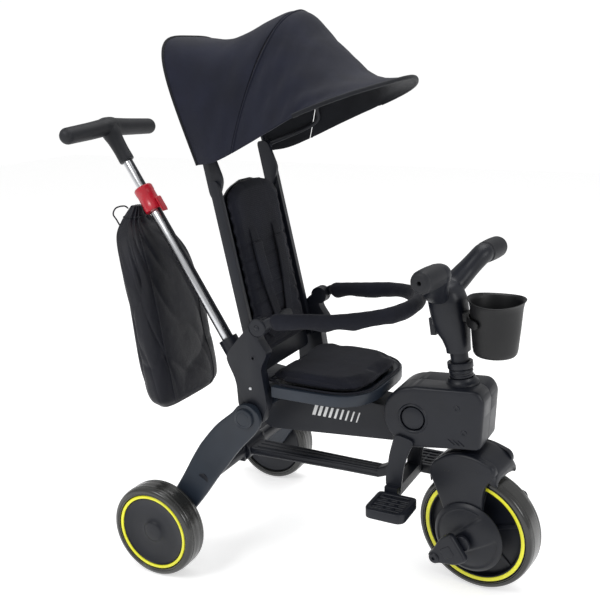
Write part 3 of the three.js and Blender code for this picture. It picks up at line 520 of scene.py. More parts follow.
def addDrawstring():
    route = place(smoothPath(drawstring["route"], 30))
    radius = drawstring["radius"] / 1000
    scale = domedEnds(len(route), 3)
    shell = sweepShell(route, radius * scale, radius * scale, 12, reference=(0.3, 0.9, 0.2))
    obj = addPiece("bag_drawstring_cord", shell, "bag_fabric", "frame", ("bag_drawstring",))


addDrawstring()
print("cord ready")

# ---- wheels

wheel = {"rearCentre": 226, "rearRadius": 89.8, "frontRadius": 112.2, "frontHeight": 113, "wheelbase": 560,
        "rake": 8}


# A tyre's closed profile: a crowned tread between two rounded shoulders, with fine grooves.
def tyreProfile(radius, half, bore):
    crown = [(bore, -half + 5), (bore + 4, -half + 1.5), (radius - 9, -half + 0.5), (radius - 3,
            -half + 2.5), (radius - 0.6, -half + 8), (radius, -half + 14), (radius, half - 14),
            (radius - 0.6, half - 8), (radius - 3, half - 2.5), (radius - 9, half - 0.5), (bore + 4,
            half - 1.5), (bore, half - 5)]
    loop = smoothPath(crown, 72, closed=True)
    grooves = np.exp(-((np.abs(loop[:, 1]) - 7.5) / 0.9) ** 2) + np.exp(-((np.abs(loop[:,
            1]) - 15) / 0.9) ** 2)
    loop[:, 0] -= np.where(loop[:, 0] > radius - 2, 1.1 * grooves, 0)
    return np.vstack([loop, loop[:1]])


def ringProfile(inner, outer, face):
    loop = smoothPath([(inner, face - 4), (inner, face - 0.8), (inner + 2.5, face), (outer - 2, face + 0.3),
            (outer, face - 1), (outer, face - 4)], 30, closed=True)
    return np.vstack([loop, loop[:1]])


def addRearWheels():
    half = 25
    centre = (0, wheel["rearCentre"], wheel["rearRadius"] + 0.2)
    bodies = ("rear_wheel_left", "rear_wheel_right")
    addPair("rear_tyre_rubber", turnedShell(tyreProfile(wheel["rearRadius"], half, 75.4), centre,
            sides=128), "tyre", bodies, ("rear_tyre",))
    rim = smoothPath([(8.8, -half + 3), (24, -half + 3), (31, -half + 8), (60, -half + 7), (75, -half + 8),
            (75, half - 6), (69, half - 5.5), (67.2, half - 2.6), (64, half - 5), (50, half - 8.4), (30,
            half - 8.8), (22, half - 7), (17, half - 4), (8, half - 3), (0.5, half - 3)], 90)
    rim = np.vstack([rim, [[0.5, half - 14], [8.8, half - 14], [8.8, -half + 3]]])
    addPair("rear_rim_disc", turnedShell(rim, centre, sides=96), "black_plastic", bodies, ("rear_rim",))
    addPair("rear_ring_trim", turnedShell(ringProfile(69, 74.2, half - 1), centre, sides=128),
            "yellow_plastic", bodies, ("rear_ring",))


def addFrontWheel():
    half = 26
    centre = (wheel["wheelbase"], 0, wheel["frontHeight"])
    tyre = turnedShell(tyreProfile(wheel["frontRadius"], half, 99.4), centre, sides=144)
    addPiece("front_tyre_rubber", moved(tyre, placeSteered), "tyre", "front_wheel", ("front_tyre",))
    outerFace = [(26, half), (31, 12), (40, 9.5), (80, 9), (88, half - 9), (89, half - 3.5), (98.8,
            half - 2.2)]
    profile = smoothPath(outerFace, 60)
    whole = np.vstack([profile, (profile * [1, -1])[::-1], [[7.5, -half], [7.5, half]], profile[:1]])
    rim = [turnedShell(whole, centre, sides=96)]
    angles = np.radians(np.arange(0, 360, 60) + 20)
    for angle in angles:   # raised ribs between the hub and the ring
        start = np.array([centre[0] + 30 * math.cos(angle), 0, centre[2] + 30 * math.sin(angle)])
        end = np.array([centre[0] + 86 * math.cos(angle), 0, centre[2] + 86 * math.sin(angle)])
        rim.append(sweepShell(np.linspace(start, end, 6), 5, 12, 16, 4))
    addPiece("front_rim_disc", moved(combine(*rim), placeSteered), "black_plastic", "front_wheel",
            ("front_rim",))
    for name, side in (("left", 1), ("right", -1)):
        ring = turnedShell(ringProfile(91, 98, half - 1.6), centre, sides=144)
        ring = ring if side > 0 else mirroredShell(ring)
        addPiece(f"front_ring_trim_{name}", moved(ring, placeSteered), "yellow_plastic", "front_wheel")


crank = {"angle": 217, "length": 62, "inner": 69, "end": 78}


# Turns side-view points drawn along X to a crank's angle about the front axle.
def onCrank(shell, side, angle):
    points, faces = shell
    turned = sideTurned(points * [1, side, 1], (wheel["wheelbase"], wheel["frontHeight"]), angle)
    return placeSteered(turned), faces


def addCranks():
    arms = []
    loop = roundedLoop([(-16, -15, 14), (30, -13, 10), (crank["length"] + 13, -10, 10),
            (crank["length"] + 13, 10, 10), (30, 13, 10), (-16, 15, 14)], 8)
    for side, angle in ((-1, crank["angle"]), (1, crank["angle"] + 180)):
        arms.append(onCrank(plateShell(loop, crank["inner"], crank["end"], 2.5), side, angle))
        shaft = turnedShell([(0.1, 20), (7, 20), (7, crank["end"] - 1), (0.1, crank["end"] - 1)], (0, 0, 0))
        arms.append(onCrank(shaft, side, angle))
    addPiece("crank_axle_forged", combine(*arms), "black_plastic", "front_wheel", ("crank_axle",))
    # the pedal: a broad body that narrows to a round boss at the crank's end
    body = roundedLoop([(-4, -28, 9), (22, -28, 30), (54, -12, 14), (65, -11, 9), (65, 11, 9), (54, 12, 14),
            (22, 28, 30), (-4, 28, 9)], 8)
    low = crank["end"] + 0.8
    square = roundedLoop([(12, -10, 3), (34, -10, 3), (34, 10, 3), (12, 10, 3)], 4)
    boss = turnedShell([(0.1, low + 9), (3.2, low + 9), (3.2, low + 17), (8, low + 17), (10, low + 15), (10,
            low + 2), (0.1, low + 2)], (crank["length"] - 7, 0, 0), sides=40)
    for name, side, angle in (("right", -1, crank["angle"]), ("left", 1, crank["angle"] + 180)):
        shell = combine(plateShell(body, low, low + 14, 4.5, steps=6), plateShell(square, low + 11,
                low + 15, 1.2), boss)
        addPiece(f"pedal_{name}_body", onCrank(shell, side, angle), "black_plastic", f"pedal_{name}",
                (f"pedal_{name}",))


addRearWheels()
addFrontWheel()
addCranks()
print("wheels and cranks ready")

# ---- rear legs

leg = {"path": [(173, 143.5, 334), (150, 143.5, 300), (112, 146, 262), (78, 158, 214), (52, 176, 165), (24,
        186, 122), (-2, 191.5, 88), (-12, 191.5, 72)], "half": [28, 30, 33, 34, 31, 28, 26, 25],
        "thick": 7.5, "pivot": (155, 0, 312)}


# Legs are a rounded strap swept along an S-shaped path that spreads outward as it falls.
def addLegs():
    dense = smoothPath(leg["path"], 600)
    along = np.r_[0, np.cumsum(np.linalg.norm(np.diff(dense, axis=0), axis=1))]
    total = along[-1]
    share = (1 - np.cos(np.linspace(0, np.pi, 72))) / 2 * total   # closer steps near both ends
    path = np.stack([np.interp(share, along, dense[:, k]) for k in range(3)], 1)
    half = np.interp(share, np.linspace(0, total, len(leg["half"])), leg["half"])
    cap = np.minimum(share / 27, 1), np.minimum((total - share) / 24, 1)
    rounded = np.sqrt(np.clip(1 - (1 - cap[0]) ** 2, 0.004, 1) * np.clip(1 - (1 - cap[1]) ** 2, 0.004, 1))
    strap = sweepShell(path, half * rounded, leg["thick"], 48, 4)
    stub = turnedShell([(0.1, 184), (8, 184), (8, 235), (0.1, 235)], (0, 0, 90))
    addPair("rear_leg_strap", combine(strap, stub), "slate_plastic", ("rear_legs",) * 2, ("rear_leg",))
    cap = turnedShell([(0.1, 157.6), (15, 157.6), (18.5, 156.5), (19.6, 154), (19.6, 151.4), (8, 151.4), (8,
            100), (0.1, 100)], leg["pivot"], sides=64)
    groove = sweepShell(smoothPath([(155 + 13 * math.cos(a), 157.4,
            312 + 13 * math.sin(a)) for a in np.linspace(0.4, 5.2, 12)], 40), 0.9, 0.9, 10)
    middle = turnedShell([(0.1, -100), (8, -100), (8, 100), (0.1, 100)], leg["pivot"], sides=32)
    bolt = combine(bothSides(combine(cap, groove)), middle)
    addPiece("leg_pivot_bolt_caps", moved(bolt, place), "slate_plastic", "frame", ("leg_pivot_bolt",))


addLegs()
softenNode("leg_cross_tube", 1.5)

# The link is a slim bar with lengthwise ribs, an eye round the cross tube behind and an eye
# round the footrest pin in front.
linkArm = {"rear": (70, 180), "front": (393, 195), "half": (24, 13.6), "tall": 9.4}


def addLink():
    share = np.linspace(0, 1, 40)
    x = linkArm["rear"][0] + 14 + share * (linkArm["front"][0] - linkArm["rear"][0] - 22)
    z = 180 + 3.5 * share + 10 * np.clip((share - 0.93) / 0.07, 0, 1)
    half = np.interp(share, [0, 0.7, 1], [linkArm["half"][0], linkArm["half"][1] + 1, linkArm["half"][1]])
    path = np.stack([x, np.zeros(40), z], 1)
    parts = [sweepShell(path, half, linkArm["tall"], 40, 6, reference=(0, 0, 1))]
    for offset in (-0.62, 0, 0.62):
        rib = path + np.stack([np.zeros(40), half * offset, np.full(40, linkArm["tall"])], 1)
        parts.append(sweepShell(rib[2:-3], 2.2, 1.5, 14, 3, reference=(0, 0, 1)))
    for side in (1, -1):
        for height in (-4, 4):
            rib = path + np.stack([np.zeros(40), half * side, np.full(40, height)], 1)
            parts.append(sweepShell(rib[2:-3], 1.4, 1.6, 14, 3, reference=(0, 0, 1)))
    (rx, rz), (fx, fz) = linkArm["rear"], linkArm["front"]
    parts.append(turnedShell([(13.4, -32), (19, -32), (20.6, -30), (20.6, 30), (19, 32), (13.4, 32), (13.4,
            -32)], (rx, 0, rz), sides=56))
    parts.append(turnedShell([(7.5, -13.8), (12, -13.8), (12.9, -12.8), (12.9, 12.8), (12, 13.8), (7.5,
            13.8), (7.5, -13.8)], (fx, 0, fz), sides=48))
    addPiece("link_arm_bar", moved(combine(*parts), place), "black_plastic", "link_arm", ("link_arm",))


addLink()
print("legs ready")

# ---- front housing and footrest

housing = {"button": (446, 324), "knuckle": 58, "outer": 48, "edge": 7, "nose": [(563, 392, 12),
        (575, 374, 9), (571, 283, 9), (540, 280, 12)]}


# The shell's outline as evenly spaced points, starting straight ahead of the button.
def housingOutline(count=240):
    cx, cz = housing["button"]
    arc = np.radians(np.linspace(98, 262, 24))
    knuckle = np.stack([cx + housing["knuckle"] * np.cos(arc), cz + housing["knuckle"] * np.sin(arc)], 1)
    nose = roundedLoop([(cx, 384, 0), *housing["nose"], (cx, 266, 0)], 8)
    loop = np.vstack([knuckle[::-1], nose])
    loop = loop[np.r_[True, np.linalg.norm(np.diff(loop, axis=0), axis=1) > 0.5]]
    dense = np.linspace(0, len(loop), 4000, endpoint=False)
    closed = np.vstack([loop, loop[:1]])
    loop = np.stack([np.interp(dense, np.arange(len(closed)), closed[:, k]) for k in (0, 1)], 1)
    angle = np.arctan2(loop[:, 1] - cz, loop[:, 0] - cx)
    order = np.argsort(angle)
    turn = np.linspace(-np.pi, np.pi, count, endpoint=False)
    radius = np.interp(turn, angle[order], np.hypot(loop[:, 0] - cx, loop[:, 1] - cz)[order],
            period=2 * np.pi)
    return turn, radius


# From the steering axis's own frame, whose middle is the front axle, before it steers.
def leaned(points):
    return sideTurned(points, (wheel["wheelbase"], wheel["frontHeight"]), wheel["rake"])


def raked(points):
    return placeSteered(leaned(points))


# Half of the shell: rings about the button run from the middle seam over the rounded edge,
# across the flat cheek and over a raised rim, then down into the button's recess.
def housingShell():
    cx, cz = housing["button"]
    turn, radius = housingOutline()
    outer, edge = housing["outer"], housing["edge"]
    bow = np.linspace(0, np.pi / 2, 6)
    rings = [(radius - 0.5, np.full_like(radius, 0.15)), (radius, np.full_like(radius, 1.0))]
    rings += [(radius - edge * (1 - math.cos(b)), np.full_like(radius,
            outer - 0.6 - edge * (1 - math.sin(b)))) for b in bow]
    rim = np.full_like(radius, 28.5)
    for share in np.linspace(0.15, 1, 8):
        flat = (radius - edge) * (1 - share) + rim * share
        rings.append((flat, np.full_like(radius, outer - 0.6 + 0.6 * math.sin(share * math.pi / 2))))
    for r, y in ((27.6, outer + 1.2), (26.4, outer + 2.2), (24.8, outer + 2.2), (23.4, outer + 1),
                 (22.9, outer - 2), (22.9, 38), (0.2, 38)):
        rings.append((np.full_like(radius, r), np.full_like(radius, y)))
    r = np.array([ring[0] for ring in rings])
    y = np.array([ring[1] for ring in rings])
    grid = np.stack([cx + r * np.cos(turn), y, cz + r * np.sin(turn)], -1)
    return gridShell(grid)


def addHousing():
    screws, lines = [], []
    for x, z in ((527, 356), (541, 312)):
        screws.append(turnedShell([(0.1, 46.9), (2.2, 46.9), (2.6, 48.6), (4.6, 48.9), (5.4, 48.4), (5.6,
                46)], (x, 0, z), sides=28))
    for step in range(3):   # short slanted grip lines low on the cheek
        start = np.array([512 + 9 * step, 48.1, 296])
        lines.append(sweepShell(np.linspace(start, start + [12, 0, -9], 8), 1.2, 1.1, 10))
    for name, side in (("left", 1), ("right", -1)):
        parts = combine(housingShell(), *screws, *lines)
        sided = parts if side > 0 else mirroredShell(parts)
        addPiece(f"housing_shell_{name}", moved(sided, place), "black_plastic", "front_housing",
                (f"front_housing_{name}",), angle=30)
        cap = turnedShell([(0.1, 50.4), (9, 50.2), (16, 49.6), (20.4, 48), (21.8, 45.5), (21.9, 41.2), (0.1,
                41.2)], (housing["button"][0], 0, housing["button"][1]), sides=64)
        cap = cap if side > 0 else mirroredShell(cap)
        addPiece(f"fold_button_cap_{name}", moved(cap, place), "black_plastic", f"fold_button_{name}",
                (f"fold_button_{name}",))


# The collar flares down onto the housing. It leans with the steering axis but doesn't steer.
def addCollar():
    points, faces = turnedShell([(17, 274), (22, 274), (31, 277), (30.4, 280), (26.5, 283), (24.6, 287),
            (24, 289.4), (17, 289.4), (17, 274)], (0, 0, 0), (0, 0, 1), 72)
    addPiece("steering_collar_foot", (place(leaned(points)), faces), "black_plastic", "front_housing",
            ("steering_collar",))


addHousing()
addCollar()
softenNode("steering_bearing", 0.8)
softenNode("footrest_frame", 2.4)

footplate = {"x": (389.5, 464.5), "y": (66.8, 141.8), "z": (160, 180), "rim": 9}


# A plate is a deep rounded rim round an open grid of slats.
def addFootplates():
    (x0, x1), (y0, y1), (z0, z1) = footplate["x"], footplate["y"], footplate["z"]
    loop = roundedLoop([(x0, y0, 9), (x1, y0, 9), (x1, y1, 17), (x0, y1, 17)], 8)
    centre = np.array([(x0 + x1) / 2, (y0 + y1) / 2])
    hole = centre + (loop - centre) * np.array([(x1 - x0 - 2 * footplate["rim"]) / (x1 - x0),
            (y1 - y0 - 2 * footplate["rim"]) / (y1 - y0)])
    bow = np.linspace(0, np.pi, 9)
    share = (1 - np.cos(bow)) / 2
    top = z1 - 2.2 + 2 * np.sin(bow)
    rows = [np.c_[loop, np.full(len(loop), z0 + 2)]]
    rows += [np.c_[loop * (1 - s) + hole * s, np.full(len(loop), z)] for s, z in zip(share, top)]
    rows += [np.c_[hole, np.full(len(loop), z0 + 6)], np.c_[(loop + hole) / 2, np.full(len(loop), z0)]]
    rim = gridShell(np.array(rows), ring=True)
    slats = []
    for y in np.linspace(y0 + 17, y1 - 17, 4):
        path = np.linspace([x0 + 6, y, z1 - 5.5], [x1 - 6, y, z1 - 5.5], 6)
        slats.append(sweepShell(path, 3.4, 3.6, 16, 4, reference=(0, 0, 1)))
    for x in (x0 + 28, x1 - 28):
        path = np.linspace([x, y0 + 6, z1 - 6.5], [x, y1 - 6, z1 - 6.5], 6)
        slats.append(sweepShell(path, 3, 3.4, 16, 4, reference=(0, 0, 1)))
    addPair("footplate_grid", combine(rim, *slats), "black_plastic", ("footplate_left", "footplate_right"),
            ("footplate",))


addFootplates()
print("housing and footrest ready")

# ---- steering

fork = {"outline": [(-36, -20, 14), (-46, 45, 40), (-67, 116, 8), (-60, 135, 10), (-22, 158, 22), (22, 158,
        22), (62, 140, 12), (66, 124, 8), (38, 96, 30), (28, 45, 30), (34, -20, 14), (0, -50, 34)],
        "half": 44, "gap": 29.5, "clear": 118.5}


# The mudguard crown: across the wheel it arches over the tyre, and along the wheel it rises
# from a rear lip to broad shoulders and ends in a lip turned down in front.
def crownShell():
    t = np.linspace(0, 1, 40)
    line = smoothPath([(-66, 0, 112), (-60, 0, 134), (-30, 0, 155), (0, 0, 160), (28, 0, 156), (50, 0, 144),
            (63, 0, 128), (66, 0, 116)], 40)
    under = fork["clear"] + 1.0
    a = np.linspace(-1, 1, 33)
    spread = fork["half"] * np.sign(a) * np.abs(a) ** 0.8
    drop = 13 * np.abs(a) ** 5
    shape = np.sin(np.pi * t) ** 0.35
    top = line[:, None, :] + np.stack([np.zeros_like(a), spread, -drop], -1)[None] * np.stack([np.ones(40),
            0.9 + 0.1 * shape, np.ones(40)], -1)[:, None]
    reach = np.hypot(top[..., 0], top[..., 2])
    direction = np.stack([top[..., 0] / reach, top[..., 2] / reach], -1)
    low = np.stack([direction[..., 0] * under, top[..., 1] * 0.94, direction[..., 1] * under], -1)
    low[..., 2] = np.minimum(low[..., 2], top[..., 2] - 2.5)
    grid = np.concatenate([top, low[:, ::-1]], 1)
    return gridShell(grid)


def addFork():
    loop = roundedLoop(fork["outline"], 8)
    cheek = plateShell(loop, fork["gap"] + 0.4, fork["half"], (1.5, 6), steps=6)
    hub = turnedShell([(0.1, 29.8), (26, 29.8), (30, 36), (30, 43.8), (0.1, 43.8)], (0, 0, 0))
    addPiece("fork_mudguard", moved(combine(bothSides(cheek), crownShell(), bothSides(hub)), raked),
            "black_plastic", "steering", ("fork",), angle=44)


# The hub cover: a domed disc cut by two lens-shaped hollows beside a raised band on which
# the crank folds. Polar rings carry the height.
hubCover = {"radius": 66, "base": 44.3, "top": 63.6, "band": 19, "hollow": 3.6}


def addHubCovers():
    radius = hubCover["radius"]
    r = np.concatenate([np.linspace(7.4, radius - 6, 34), radius - np.array([4, 2, 0.6, 0, 0])])
    turn = np.linspace(0, 2 * np.pi, 120, endpoint=False)
    r, turn = np.meshgrid(r, turn, indexing="ij")
    dome = hubCover["base"] + (hubCover["top"] - hubCover["base"]) * np.clip(1 - (r / (radius + 2)) ** 2.6,
            0, 1) ** 0.75
    lean = math.radians(crank["angle"])
    for name, side in (("right", -1), ("left", 1)):
        along = r * np.cos(turn) * math.cos(lean) + r * np.sin(turn) * math.sin(lean)
        across = -r * np.cos(turn) * math.sin(lean) + r * np.sin(turn) * math.cos(lean)
        band = hubCover["band"] - 0.1 * along * (1 if side < 0 else -1)
        hollow = 1 / (1 + np.exp(-(np.abs(across) - band) / 0.7))
        hollow = hollow / (1 + np.exp((r - radius + 9) / 0.8))
        y = dome - hubCover["hollow"] * hollow
        y[-1] = hubCover["base"]
        front = np.stack([r * np.cos(turn), y * side, r * np.sin(turn)], -1)
        back = front[:1].copy()
        back[..., 1] = hubCover["base"] * side
        points, faces = gridShell(np.concatenate([front, back], 0), ring=True)
        shell = (placeSteered(points + [wheel["wheelbase"], 0, wheel["frontHeight"]]), faces)
        addPiece(f"hub_cover_disc_{name}", shell, "black_plastic", "steering", (f"hub_cover_{name}",))


handlebar = {"path": [(-16, 0, 445), (-14, 30, 448), (2, 56, 468), (24, 78, 492), (26, 92, 494)],
        "grip": (90.6, 152)}


def addHandlebar():
    half = np.array(handlebar["path"], float)
    line = np.vstack([(half * [1, -1, 1])[::-1], half[1:]])
    path = smoothPath(line, 90)
    wide = np.interp(np.abs(path[:, 1]), [0, 25, 45, 70, 92], [21, 23, 23, 19.5, 17.5])
    deep = np.interp(np.abs(path[:, 1]), [0, 25, 60, 92], [18, 18, 17, 17.5])
    parts = [sweepShell(path, wide, deep, 40, 2.2, reference=(0.2, 0, 1))]
    for side in (1, -1):
        parts.append(sweepShell(np.linspace((26, 88 * side, 494), (26, 144 * side, 494), 6), 11.6, 11.6, 24,
                reference=(0, 0, 1)))
    addPiece("handlebar_wings", moved(combine(*parts), raked), "black_plastic", "steering", ("handlebar",))
    start, end = handlebar["grip"]
    along = np.linspace(start, end, 90)
    swell = 1.2 * np.sin((along - start) / (end - start) * np.pi)
    radius = np.interp(along, [start, start + 2, start + 7, end - 9, end - 4, end - 1, end], [17.5, 19.4,
            19.2, 18.9, 17.6, 14.6, 12])
    profile = np.stack([radius + swell, along], 1)
    profile = np.vstack([[(12.2, start)], profile, [(4, end), (3, end - 2), (3, end - 7), (12.2, end - 7),
            (12.2, start)]])
    grip = turnedShell(profile, (26, 0, 494), sides=56)
    addPair("handlebar_sleeve", grip, "rubber", ("steering",) * 2, ("handlebar_grip",), how=raked)


cupShape = {"x": 582, "z": (452, 553), "radius": (38, 47), "lip": 50, "wall": 2.4, "wave": 5}


# The cup's wall is a turned profile that widens to a rolled lip, and its rim dips at the sides.
def addCup():
    z0, z1 = cupShape["z"]
    r0, r1 = cupShape["radius"]
    wall = cupShape["wall"]
    outside = [(0.1, z0), (r0 - 9, z0), (r0 - 3, z0 + 1.5), (r0 - 0.6, z0 + 5), (r0 + 0.8, z0 + 12),
            (r0 + 4.4, 503), (r1 - 2, z1 - 16), (r1, z1 - 6), (cupShape["lip"] - 1, z1 - 2.4),
            (cupShape["lip"], z1 - 0.8), (cupShape["lip"] - 1, z1), (r1 - wall + 0.6, z1 - 3)]
    inside = [(r1 - wall - 1.4, z1 - 10), (r0 + 2, 503), (r0 - wall, z0 + 10), (r0 - wall - 4, z0 + wall),
            (0.1, z0 + wall)]
    points, faces = turnedShell(outside + inside, (cupShape["x"], 0, 0), (0, 0, 1), 96)
    turn = np.arctan2(points[:, 1], points[:, 0] - cupShape["x"])
    high = np.clip((points[:, 2] - 515) / (z1 - 515), 0, 1) ** 2
    points[:, 2] -= cupShape["wave"] * high * (0.5 - 0.5 * np.cos(2 * (turn - 0.25)))
    addPiece("cup_wall", (placeSteered(points), faces), softBlack, "steering", ("cup",))


# The stem: a rounded squarish post whose section grows from the column up to the shoulders
# and closes over the handlebar.
stem = {"height": [336, 345, 360, 374, 390, 410, 430, 446, 456, 462, 464], "middle": [0, 0, -2, -6, -8, -9,
        -10, -12, -13, -14, -14], "depth": [20, 20.6, 24, 29, 32, 33, 33, 30, 24, 14, 3], "width": [20,
        20.6, 22, 24.5, 27, 29, 30, 29, 23, 13, 3]}


def addStem():
    w = np.linspace(stem["height"][0], stem["height"][-1], 60)
    middle, depth, width = (np.interp(w, stem["height"], stem[k]) for k in ("middle", "depth", "width"))
    section = roundSection(56, 2.7)[None]
    grid = np.stack([middle[:, None] + depth[:, None] * section[..., 0], width[:, None] * section[..., 1],
            np.broadcast_to(w[:, None], (60, 56))], -1)
    addPiece("stem_body", moved(gridShell(grid), raked), "black_plastic", "steering", ("stem",), angle=60)


# The cup hangs from a hook that grips its back half, so only the arm and two thin jaws show.
def addCupBracket():
    angle = np.radians(np.linspace(105, 255, 40))
    radius = 47.6
    path = np.stack([cupShape["x"] + radius * np.cos(angle), radius * np.sin(angle), np.full(40, 513.0)], 1)
    jaws = sweepShell(path, 2.2 * domedEnds(40, 4), 8 * domedEnds(40, 4), 20, 4, reference=(0, 0, 1))
    arm = plateShell(roundedLoop([(522, 505, 3), (538, 505, 3), (538, 521, 3), (522, 521, 3)], 4), -14, 14, 3)
    addPiece("cup_hook", moved(combine(jaws, arm), placeSteered), softBlack, "steering", ("cup_bracket",))


# The neck round the column: a smooth sleeve with two rings, below the lock ring.
def addNeck():
    low, high = 290, 305.4
    neck = turnedShell([(16.2, low), (20.5, low), (21.4, low + 1), (21.4, low + 4), (20.4, low + 5), (20.4,
            low + 8), (21.6, low + 9), (21.6, low + 12), (20.6, high - 1), (19.6, high), (16.2, high),
            (16.2, low)], (0, 0, 0), (0, 0, 1), 64)
    addPiece("steering_neck", moved(neck, raked), "black_plastic", "steering")


addFork()
addHubCovers()
addHandlebar()
addCup()
for node, edge in (("steering_column", 1), ("steering_lock_ring", 1.2), ("stem_latch", 1.2)):
    softenNode(node, edge)
addStem()
addCupBracket()
addNeck()
print("steering ready")

# ---- frame beam, brackets and seat base

beamMarks = {"start": 236, "step": 11.5, "count": 9, "low": 290, "high": 311, "side": 34.15}


# Plain slanted bars on the beam's side.
def addBeamMarks():
    marks = []
    for k in range(beamMarks["count"]):
        x = beamMarks["start"] + beamMarks["step"] * k
        wide = 7 - 0.55 * k
        loop = roundedLoop([(x, beamMarks["low"], 1), (x + wide, beamMarks["low"], 1), (x + wide + 7,
                beamMarks["high"], 1), (x + 7, beamMarks["high"], 1)], 3)
        marks.append(plateShell(loop, beamMarks["side"], beamMarks["side"] + 0.25, 0.08, steps=2))
    addPiece("beam_marks", moved(bothSides(combine(*marks)), place), whitePrint, "frame")


def addBracketFixings():
    rivet = turnedShell([(0.1, 135.6), (1.8, 135.4), (2.8, 134.8), (3.2, 133.6), (3.2, 132)], (161, 0, 366),
            sides=36)
    addPiece("bracket_rivets", moved(bothSides(rivet), place), silverBolt, "frame")
    screw = turnedShell([(0.1, 134), (2.2, 134), (2.6, 135), (4.6, 134.9), (5.4, 134), (5.4, 132)], (169, 0,
            426), sides=36)
    guardPin = turnedShell([(0.1, 137.6), (3, 137.4), (4.6, 136.4), (4.8, 135)], (180, 0, 485), sides=32)
    addPiece("bracket_screws", moved(bothSides(combine(screw, guardPin)), place), finishes["black_plastic"],
            "frame")


for node, edge in (("main_beam", 5), ("side_bracket_left", 3), ("side_bracket_right", 3),
                   ("seat_base", 3.5), ("push_bar_socket", 1.5), ("back_frame", 2.2),
                   ("guard_socket_left", 1), ("guard_socket_right", 1)):
    softenNode(node, edge)
addBeamMarks()
addBracketFixings()
print("frame ready")

# ---- push bar

# The last entry is the half-angle, in degrees, of a painted shade band along the front of each silver tube.
push = {"foot": (20, 421), "lean": 32.46, "lower": (12, -72, 323), "upper": (10, 130, 466.8), "paintedShadeBand": 26}


# From the push bar's own frame, u square to the tube in the side view and w along it.
def onPush(points):
    return place(sideTurned(points, push["foot"], push["lean"]))


def tubeParts(name, size, body):
    radius, low, high = size
    wall = turnedShell([(radius - 1.7, low), (radius - 0.3, low), (radius, low + 0.6), (radius, high - 0.6),
            (radius - 0.3, high), (radius - 1.7, high), (radius - 1.7, low)], (0, 0, 0), (0, 0, 1), 64)
    addPiece(name + "_tube", moved(wall, onPush), "steel", body, (name,))
    # Painted shade: a thin black sheet laid over the front face of the silver tube darkens the side that
    # falls in shadow.
    half = math.radians(push["paintedShadeBand"])
    angle = np.linspace(-half, half, 13)
    arc = np.concatenate([np.stack([np.cos(angle), np.sin(angle)], 1) * (radius + 0.45),
            np.stack([np.cos(angle[::-1]), np.sin(angle[::-1])], 1) * (radius - 0.2)])
    ends = np.linspace(low + 2, high - 2, 12)
    grid = np.concatenate([np.broadcast_to(arc[None], (12,) + arc.shape),
            np.broadcast_to(ends[:, None, None], (12, len(arc), 1))], 2)
    addPiece(name + "_painted_shade_band", moved(gridShell(grid), onPush), "black_plastic", body)


pushGrip = {"hub": 478.8, "half": 140, "droop": 3.8, "radius": 18, "tip": 16.2}


def addPushGrip():
    y = np.linspace(-pushGrip["half"], pushGrip["half"], 220)
    share = np.abs(y) / pushGrip["half"]
    hub = 2.6 * np.exp(-(y / 17) ** 4)
    radius = (pushGrip["radius"] + (pushGrip["tip"] - pushGrip["radius"]) * share + hub) * domedEnds(len(y),
            12)
    w = pushGrip["hub"] - np.abs(y) * math.tan(math.radians(pushGrip["droop"])) * (1 - np.exp(-(y / 30) ** 2))
    bar = sweepShell(np.stack([np.zeros_like(y), y, w], 1), radius, radius, 40, reference=(0, 0, 1))
    outer = smoothPath([(13.8, 399), (15.4, 400.5), (15.6, 406), (15.4, 424), (16.6, 446), (19.2, 462),
            (20.4, 476)], 40)
    sleeve = turnedShell(np.vstack([[(10.1, 399)], outer, [(10.1, 476), (10.1, 399)]]), (0, 0, 0), (0, 0,
            1), 56)
    addPiece("push_grip_bar", moved(combine(bar, sleeve), onPush), "rubber", "push_upper", ("push_grip",))


# The clamp is a red collar with a waist, and its lever lies along the front.
def addClamp():
    collar = turnedShell([(12.2, 283), (18, 283), (20, 285.5), (20, 296), (19.2, 298), (19.2, 322), (20,
            324), (20, 334), (17.5, 337), (12.2, 337), (12.2, 283)], (0, 0, 0), (0, 0, 1), 64)
    addPiece("height_clamp_collar", moved(collar, onPush), "red_paint", "frame", ("height_clamp",))
    loop = roundedLoop([(20.6, 271, 2), (23.6, 270, 2), (25, 276, 3), (24.6, 290, 6), (25, 303, 2), (20.6,
            305, 2)], 5)
    lever = plateShell(loop, -8.6, 8.6, 2.2)
    addPiece("clamp_lever_body", moved(lever, onPush), "red_paint", "clamp_lever", ("clamp_lever",))


tubeParts("push_tube_lower", push["lower"], "frame")
tubeParts("push_tube_upper", push["upper"], "push_upper")
addPushGrip()
addClamp()
print("push bar ready")

# ---- soft goods


# Padded fabric: the closed form is remeshed evenly and swelled by cloth under pressure, no
# point moving further than the cap, then smoothed once by subdivision.
def puff(obj, voxel=0.005, pressure=4.0, cap=0.006, steps=20):
    scene = bpy.context.scene
    even = obj.modifiers.new("even", "REMESH")
    even.mode = "VOXEL"
    even.voxel_size = voxel
    bakeModifiers(obj)
    before = vertexArray(obj.data)
    cloth = obj.modifiers.new("swell", "CLOTH")
    cloth.settings.quality = 4
    cloth.settings.mass = 0.25
    cloth.settings.use_pressure = True
    cloth.settings.uniform_pressure_force = pressure
    cloth.settings.effector_weights.gravity = 0
    cloth.point_cache.frame_start, cloth.point_cache.frame_end = 1, steps
    for step in range(1, steps + 1):
        scene.frame_set(step)
    bakeModifiers(obj)
    scene.frame_set(1)
    shift = vertexArray(obj.data) - before
    far = np.linalg.norm(shift, axis=1)
    shift *= np.minimum(1, cap / np.maximum(far, 1e-9))[:, None]
    setVertices(obj, before + shift)
    smooth = obj.modifiers.new("smoothFabric", "SUBSURF")
    smooth.levels = smooth.render_levels = 1
    bakeModifiers(obj)


